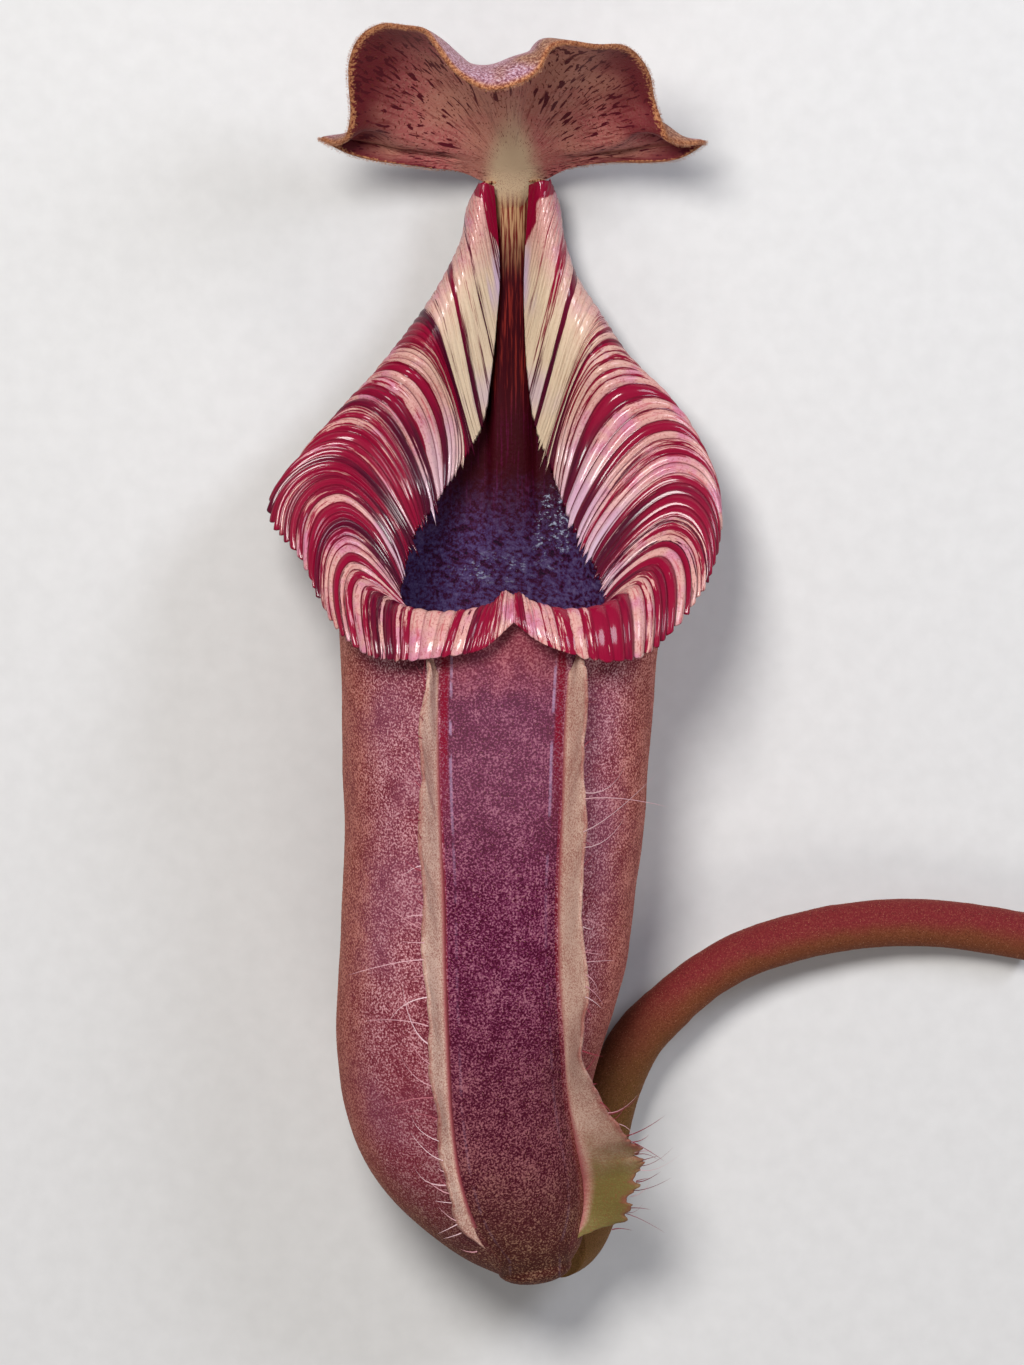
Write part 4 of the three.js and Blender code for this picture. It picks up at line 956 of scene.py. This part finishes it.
velvet = {
    "brick": (0.155, 0.014, 0.018), "brown": (0.14, 0.040, 0.015), "olive": (0.12, 0.068, 0.016),
    "light": (0.30, 0.10, 0.06), "dark": (0.07, 0.012, 0.01)}
tendrilSkin = newFinish("brickVelvet")
here = pointIn("Object")
grain = noiseAt(here, 3800.0, 3.0, 0.65)
patch = noiseAt(here, 150.0, 3.0, 0.6)
upward = plus(field("up"), minus(patch, 0.5))
colour = blend(between(upward, -0.5, 0.4), velvet["brown"], velvet["brick"])
colour = blend(between(field("along"), 0.5, 0.2, 0.0, 0.85), colour, velvet["olive"])
colour = blend(between(grain, 0.5, 0.68, 0.0, 0.45), colour, velvet["light"])
colour = blend(between(grain, 0.45, 0.35, 0.0, 0.6), colour, velvet["dark"])
surface(Base_Color=colour, Roughness=0.7, Specular_IOR_Level=0.08, Sheen_Weight=0.12, Sheen_Roughness=0.4,
        Sheen_Tint=(0.8, 0.4, 0.22))
bumpy(grain, 0.5, 0.0003)
settle(tendrilPiece, ["tendril"], "stalk_skin", tendrilSkin)

# the two wings
wing = {"steps": 380, "wave": 0.35, "foot": 0.75, "thin": 0.34, "sunk": 0.5, "aside": 1.0}
wingEdges = {
    "left": [
        (-12.6, -25.4, 106.0), (-13.0, -26.3, 102.2), (-13.9, -27.0, 90.8), (-14.1, -27.2, 80.0),
        (-13.8, -27.0, 65.5), (-13.3, -26.2, 52.5), (-12.5, -24.4, 38.2), (-11.6, -22.2, 29.5),
        (-10.0, -18.0, 18.6), (-7.9, -14.2, 10.2), (-3.2, -9.6, 4.6)],
    "right": [
        (11.4, -25.4, 106.0), (11.8, -26.5, 102.2), (11.8, -27.2, 90.8), (11.7, -27.2, 80.0),
        (11.5, -26.6, 65.5), (12.0, -25.4, 51.5), (11.6, -22.5, 40.4), (14.2, -17.5, 32.5), (19.5, -12.0, 24.5),
        (20.7, -9.0, 19.5), (18.4, -6.4, 12.5), (15.0, -4.6, 7.0)]}

# the wall's front depth at a place, from the cup's own rows
frontCols = (np.abs((rimAngle + np.pi) % (2 * np.pi) - np.pi) < 1.45)
frontPoints = outer[:, frontCols].reshape(-1, 3)
frontTree = KDTree(len(frontPoints))
for i, p in enumerate(frontPoints):
    frontTree.insert((p[0], p[2], 0), i)
frontTree.balance()


def wallFront(x, z):
    found = frontTree.find_n((x, z, 0), 6)
    weights = np.array([1 / (d + 1e-3) for _, _, d in found])
    depths = np.array([frontPoints[i][1] for _, i, _ in found])
    return float((weights * depths).sum() / weights.sum())


def wingPiece(side, name, waves):
    u = np.linspace(0, 1, wing["steps"] + 1)
    foot = footLine[side](u)
    foot[:, 0] += -wing["aside"] if side == "left" else wing["aside"]
    foot[:, 1] = [wallFront(x, z) for x, _, z in foot]
    foot[:, 1] = np.convolve(np.pad(foot[:, 1], 4, mode="edge"), np.ones(9) / 9, mode="valid")
    edge = smoothCurve(wingEdges[side])(u)
    way = unit(np.gradient(edge, axis=0))
    lean = unit(edge - foot)
    thin = unit(np.cross(way, lean))
    torn = ease(0.62, 0.75, u) * (side == "right")
    wave = (wing["wave"] * np.sin(2 * np.pi * waves * u) + 0.35 * (wander(u * 55, 8 + waves) - 0.5)
            + 0.8 * torn * (wander(u * 24, 4) - 0.5))
    ragged = (0.5 * (wander(u * 90, 18 + waves) - 0.5)
              + torn * (2.0 * (wander(u * 48, 6) - 0.5) + 1.1 * (wander(u * 190, 7) - 0.5)))
    ends = ease(0, 0.012, u) * ease(1, 0.84 if side == "left" else 0.93, u)
    foot = foot - lean * wing["sunk"]
    shares = np.array([0, 0.07, 0.15, 0.25, 0.4, 0.58, 0.76, 0.9, 0.98, 1.0])
    half = wing["thin"] + wing["foot"] * np.exp(-shares / 0.09)
    half[-2:] *= (0.75, 0.35)
    rows, outward = [], []
    for sign in (1, -1):
        for k, h in zip(shares[::sign], half[::sign]):
            aside = wave * k**1.5 * ends + sign * h * (0.15 + 0.85 * ends)
            point = foot + (edge - foot) * (k * ends)[:, None] + thin * aside[:, None]
            rows.append(point + lean * (ragged * ease(0.6, 1, k) * ends)[:, None])
            outward.append(np.full(len(u), k))
    rows.append(rows[0]), outward.append(outward[0])
    places = np.array(rows)
    places[:, 0] = places[:, 0].mean(axis=0)
    places[:, -1] = places[:, -1].mean(axis=0)
    piece = gridPiece(name, laid(places))
    keepValues(piece, {"outward": np.array(outward), "down": np.tile(u, (len(rows), 1)),
                       "lobe": np.tile(torn, (len(rows), 1))})
    weld(piece)
    return piece, edge, lean


wingTones = {
    "cream": (0.50, 0.28, 0.215), "pale": (0.66, 0.47, 0.37), "brown": (0.25, 0.065, 0.05),
    "red": (0.20, 0.035, 0.030), "olive": (0.135, 0.100, 0.024), "moss": (0.185, 0.145, 0.040),
    "rust": (0.26, 0.085, 0.035), "dull": (0.34, 0.14, 0.10), "crease": (0.25, 0.04, 0.05)}
wingSkin = newFinish("paleWing")
here = pointIn("Object")
grain = noiseAt(here, 3600.0, 3.0, 0.65)
patch = noiseAt(here, 120.0, 3.0, 0.6)
colour = ramp(plus(grain, swing(patch, 0.3)), wingTones, pale=0.42, cream=0.54, brown=0.73)
green = ramp(grain, wingTones, moss=0.34, olive=0.54, rust=0.74)
colour = blend(times(field("lobe"), between(patch, 0.35, 0.6, 0.3, 0.7)), colour, wingTones["dull"])
inLobe = times(field("lobe"), between(field("outward"), 0.1, 0.3))
lobeTop = between(plus(field("down"), times(patch, 0.3)), 0.70, 1.02)
colour = blend(times(inLobe, lobeTop), colour, green)
rim = plus(field("outward"), swing(patch, 0.4))
colour = blend(between(rim, 0.86, 1.05, 0.0, 0.7), colour, wingTones["red"])
colour = blend(between(field("outward"), 0.2, 0.02), colour, wingTones["crease"])
surface(Base_Color=colour, Roughness=0.6, Specular_IOR_Level=0.3)
bumpy(grain, 0.4, 0.0003)
leftWing, leftEdge, leftLean = wingPiece("left", "leftWing", 7)
settle(leftWing, ["wing_left"], "wing_skin", wingSkin)
rightWing, rightEdge, rightLean = wingPiece("right", "rightWing", 6)
settle(rightWing, ["wing_right"], "wing_skin", wingSkin)

# tapering three-sided hairs, one for each start: the filaments, the velvet and the lid's rim
def thornMesh(name, starts, ways, bends, lengths, widths, tones=None, segments=1):
    count = len(starts)
    ways, steps = unit(ways), np.linspace(0, 1, segments + 1)[:-1]
    side = unit(np.cross(ways, np.where(np.abs(ways[:, 2:]) > 0.8, (1.0, 0, 0), (0, 0, 1.0))))
    over = np.cross(ways, side)
    spine = [starts + ways * (lengths * k)[:, None] + bends * (lengths * k * k)[:, None] for k in (*steps, 1.0)]
    corners = []
    for k, centre in zip(steps, spine):
        for a in (0, 2 * np.pi / 3, 4 * np.pi / 3):
            corners.append(centre + (side * math.cos(a) + over * math.sin(a)) * (widths * (1 - 0.75 * k))[:, None])
    corners.append(spine[-1])
    places = np.stack(corners, axis=1)  # one row of corners for each hair
    each = places.shape[1]
    faces = [(2, 1, 0)]
    for r in range(segments - 1):
        faces += [(3 * r + i, 3 * r + (i + 1) % 3, 3 * r + 3 + (i + 1) % 3, 3 * r + 3 + i) for i in range(3)]
    last = 3 * (segments - 1)
    faces += [(last + i, last + (i + 1) % 3, each - 1) for i in range(3)]
    mesh = bpy.data.meshes.new(name)
    inBox = np.clip(laid(places), cadBox[0], cadBox[1]).reshape(-1, 3)
    mesh.from_pydata(inBox, [], [tuple(each * h + c for c in face) for h in range(count) for face in faces])
    piece = bpy.data.objects.new(name, mesh)
    bpy.context.collection.objects.link(piece)
    if tones is None:
        tones = np.random.default_rng(5).uniform(0, 1, count)
    keepValues(piece, {"hair": np.repeat(tones, each)})
    return piece


def filaments(edge, lean, groups):
    draw = np.random.default_rng(12)
    starts, ways, bends, lengths, widths, tones = [], [], [], [], [], []
    for top, bottom, count, shortest, longest, outward, forward, dark in groups:
        for z in np.linspace(top, bottom, count) + draw.uniform(-1.2, 1.2, count):
            i = int(np.abs(edge[:, 2] - z).argmin())
            starts.append(edge[i] - lean[i] * 0.3)
            ways.append(lean[i] * forward * draw.uniform(0.4, 1.6) + np.array((outward, 0, draw.uniform(-0.7, 0.5))))
            bends.append(np.array((draw.uniform(-0.4, 0.4), draw.uniform(-0.1, 0.5), draw.uniform(-0.6, 0.8))))
            lengths.append(draw.uniform(shortest, longest))
            widths.append(draw.uniform(0.07, 0.13))
            tones.append(draw.uniform(*((0, 0.3) if dark else (0.3, 1.0))))
    return [np.array(a) for a in (starts, ways, bends, lengths, widths, tones)]


# top, bottom, how many, shortest, longest, outward, along the wing, dark or not
fringe = {
    "leftFilaments": (leftEdge, leftLean, [
        (101, 66, 13, 1.6, 4.0, -0.4, 0.8, True), (72, 60, 4, 2.0, 4.0, -0.9, 0.5, False),
        (60, 20, 13, 4.0, 10.0, -1.0, 0.3, False), (20, 8, 8, 1.0, 3.5, -0.8, 0.5, False)]),
    "rightFilaments": (rightEdge, rightLean, [
        (101, 86, 4, 1.5, 3.0, 0.3, 0.9, True), (84, 74, 4, 8.0, 10.5, 1.0, 0.25, False),
        (74, 62, 4, 1.6, 3.0, 0.5, 0.8, True), (62, 50, 8, 2.0, 4.5, 1.0, 0.4, False),
        (48, 34, 5, 1.5, 3.0, 0.5, 0.7, True), (31, 10, 16, 1.6, 5.5, 0.8, 0.6, True),
        (31, 16, 5, 3.0, 6.0, 1.0, 0.3, False)])}
threadFinish = newFinish("fringeThread")
threadTones = {
    "wine": (0.16, 0.004, 0.016), "red": (0.26, 0.02, 0.04), "pink": (0.50, 0.22, 0.25), "pale": (0.66, 0.46, 0.48)}
surface(Base_Color=ramp(field("hair"), threadTones, wine=0.0, red=0.3, pink=0.45, pale=0.9), Roughness=0.45)
for name, (edge, lean, groups) in fringe.items():
    threads = thornMesh(name, *filaments(edge, lean, groups), segments=6)
    settle(threads, [], "wing_skin", threadFinish)


def scattered(grid, count, seed, keep=None):
    draw = np.random.default_rng(seed)
    a, b, c = grid[:-1, :-1], grid[1:, :-1], grid[:-1, 1:]
    normal = np.cross(b - a, c - a)
    area = np.linalg.norm(normal, axis=2)
    if keep is not None:
        area = area * keep[:-1, :-1]
    cell = draw.choice(area.size, count, p=(area / area.sum()).ravel())
    i, j = np.unravel_index(cell, area.shape)
    k, m = draw.uniform(0, 1, (2, count, 1))
    return a[i, j] + (b[i, j] - a[i, j]) * k + (c[i, j] - a[i, j]) * m, unit(normal[i, j]), draw


# short hairs on a grid; outwards is -1 where the grid's rows and columns turn the other way
def velvetHairs(name, grid, count, seed, longest, slot, outwards, keep=None):
    starts, normals, draw = scattered(grid, count, seed, keep)
    ways = outwards * normals + draw.uniform(-0.7, 0.7, (count, 3))
    lengths = draw.uniform(0.35, 1.0, count) * longest
    hairs = thornMesh(name, starts - unit(ways) * 0.05, ways, np.zeros((count, 3)), lengths, np.full(count, 0.035))
    settle(hairs, [], slot, hairFinish)


hairFinish = newFinish("velvetHair")
hairTones = {"brown": (0.22, 0.05, 0.02), "rust": (0.42, 0.17, 0.07), "pale": (0.60, 0.36, 0.22)}
surface(Base_Color=ramp(field("hair"), hairTones, brown=0.1, rust=0.6, pale=1.0), Roughness=0.6)


def offFloor(grid):  # none where the pitcher lies on the floor
    return ease(restingDepth - 0.6, restingDepth - 1.6, grid[..., 1])


clear = offFloor(outer) * ease(108, 100, outer[..., 2])
velvetHairs("pitcherHairs", outer, 24000, 3, 0.6, "cup_skin", -1, clear)
velvetHairs("tendrilHairs", stalkGrid[12:-2], 6000, 4, 0.45, "stalk_skin", 1, offFloor(stalkGrid[12:-2]))
velvetHairs("lidHairs", lidGrid[6:], 5000, 5, 0.5, "lid_skin", 1)

rimHair = {"above": 178, "count": 8000, "seed": 8, "spread": 0.3, "shortest": 0.15, "longest": 0.4, "width": 0.03}
onRim = lidGrid[-1, :, 2] > rimHair["above"]
rimStarts, rimWays = lidGrid[-1][onRim], unit(lidGrid[-1] - lidGrid[-3])[onRim]
draw, count = np.random.default_rng(rimHair["seed"]), rimHair["count"]
pick = draw.integers(0, len(rimStarts) - 1, count)
along = draw.uniform(0, 1, (count, 1))
rimStarts = rimStarts[pick] * (1 - along) + rimStarts[pick + 1] * along
rimStarts = rimStarts + draw.uniform(-rimHair["spread"], rimHair["spread"], (count, 3))
rimWays = rimWays[pick] + draw.uniform(-0.7, 0.7, (count, 3))
rimHairs = thornMesh("lidRimHairs", rimStarts, rimWays, np.zeros((count, 3)),
                     draw.uniform(rimHair["shortest"], rimHair["longest"], count), np.full(count, rimHair["width"]))
settle(rimHairs, [], "lid_skin", hairFinish)

# the small spur behind the lid
spur = {"shares": (0, 0.5, 1), "radii": (0.95, 0.55, 0.16), "steps": 40, "around": 20}
spurPath = smoothCurve([(0.4, 15.9, 169.0), (0.5, 16.8, 171.4), (0.6, 18.0, 174.2), (0.8, 18.9, 177.4)])
u = np.linspace(0, 1, spur["steps"] + 1)
places, ring = tube(spurPath, u, np.interp(u, spur["shares"], spur["radii"])[:, None], spur["around"])
places[0], places[-1] = places[0].mean(axis=0), places[-1].mean(axis=0)
spurPiece = gridPiece("smallSpur", laid(places))
weld(spurPiece)
settle(spurPiece, [], "cup_skin", tendrilSkin)
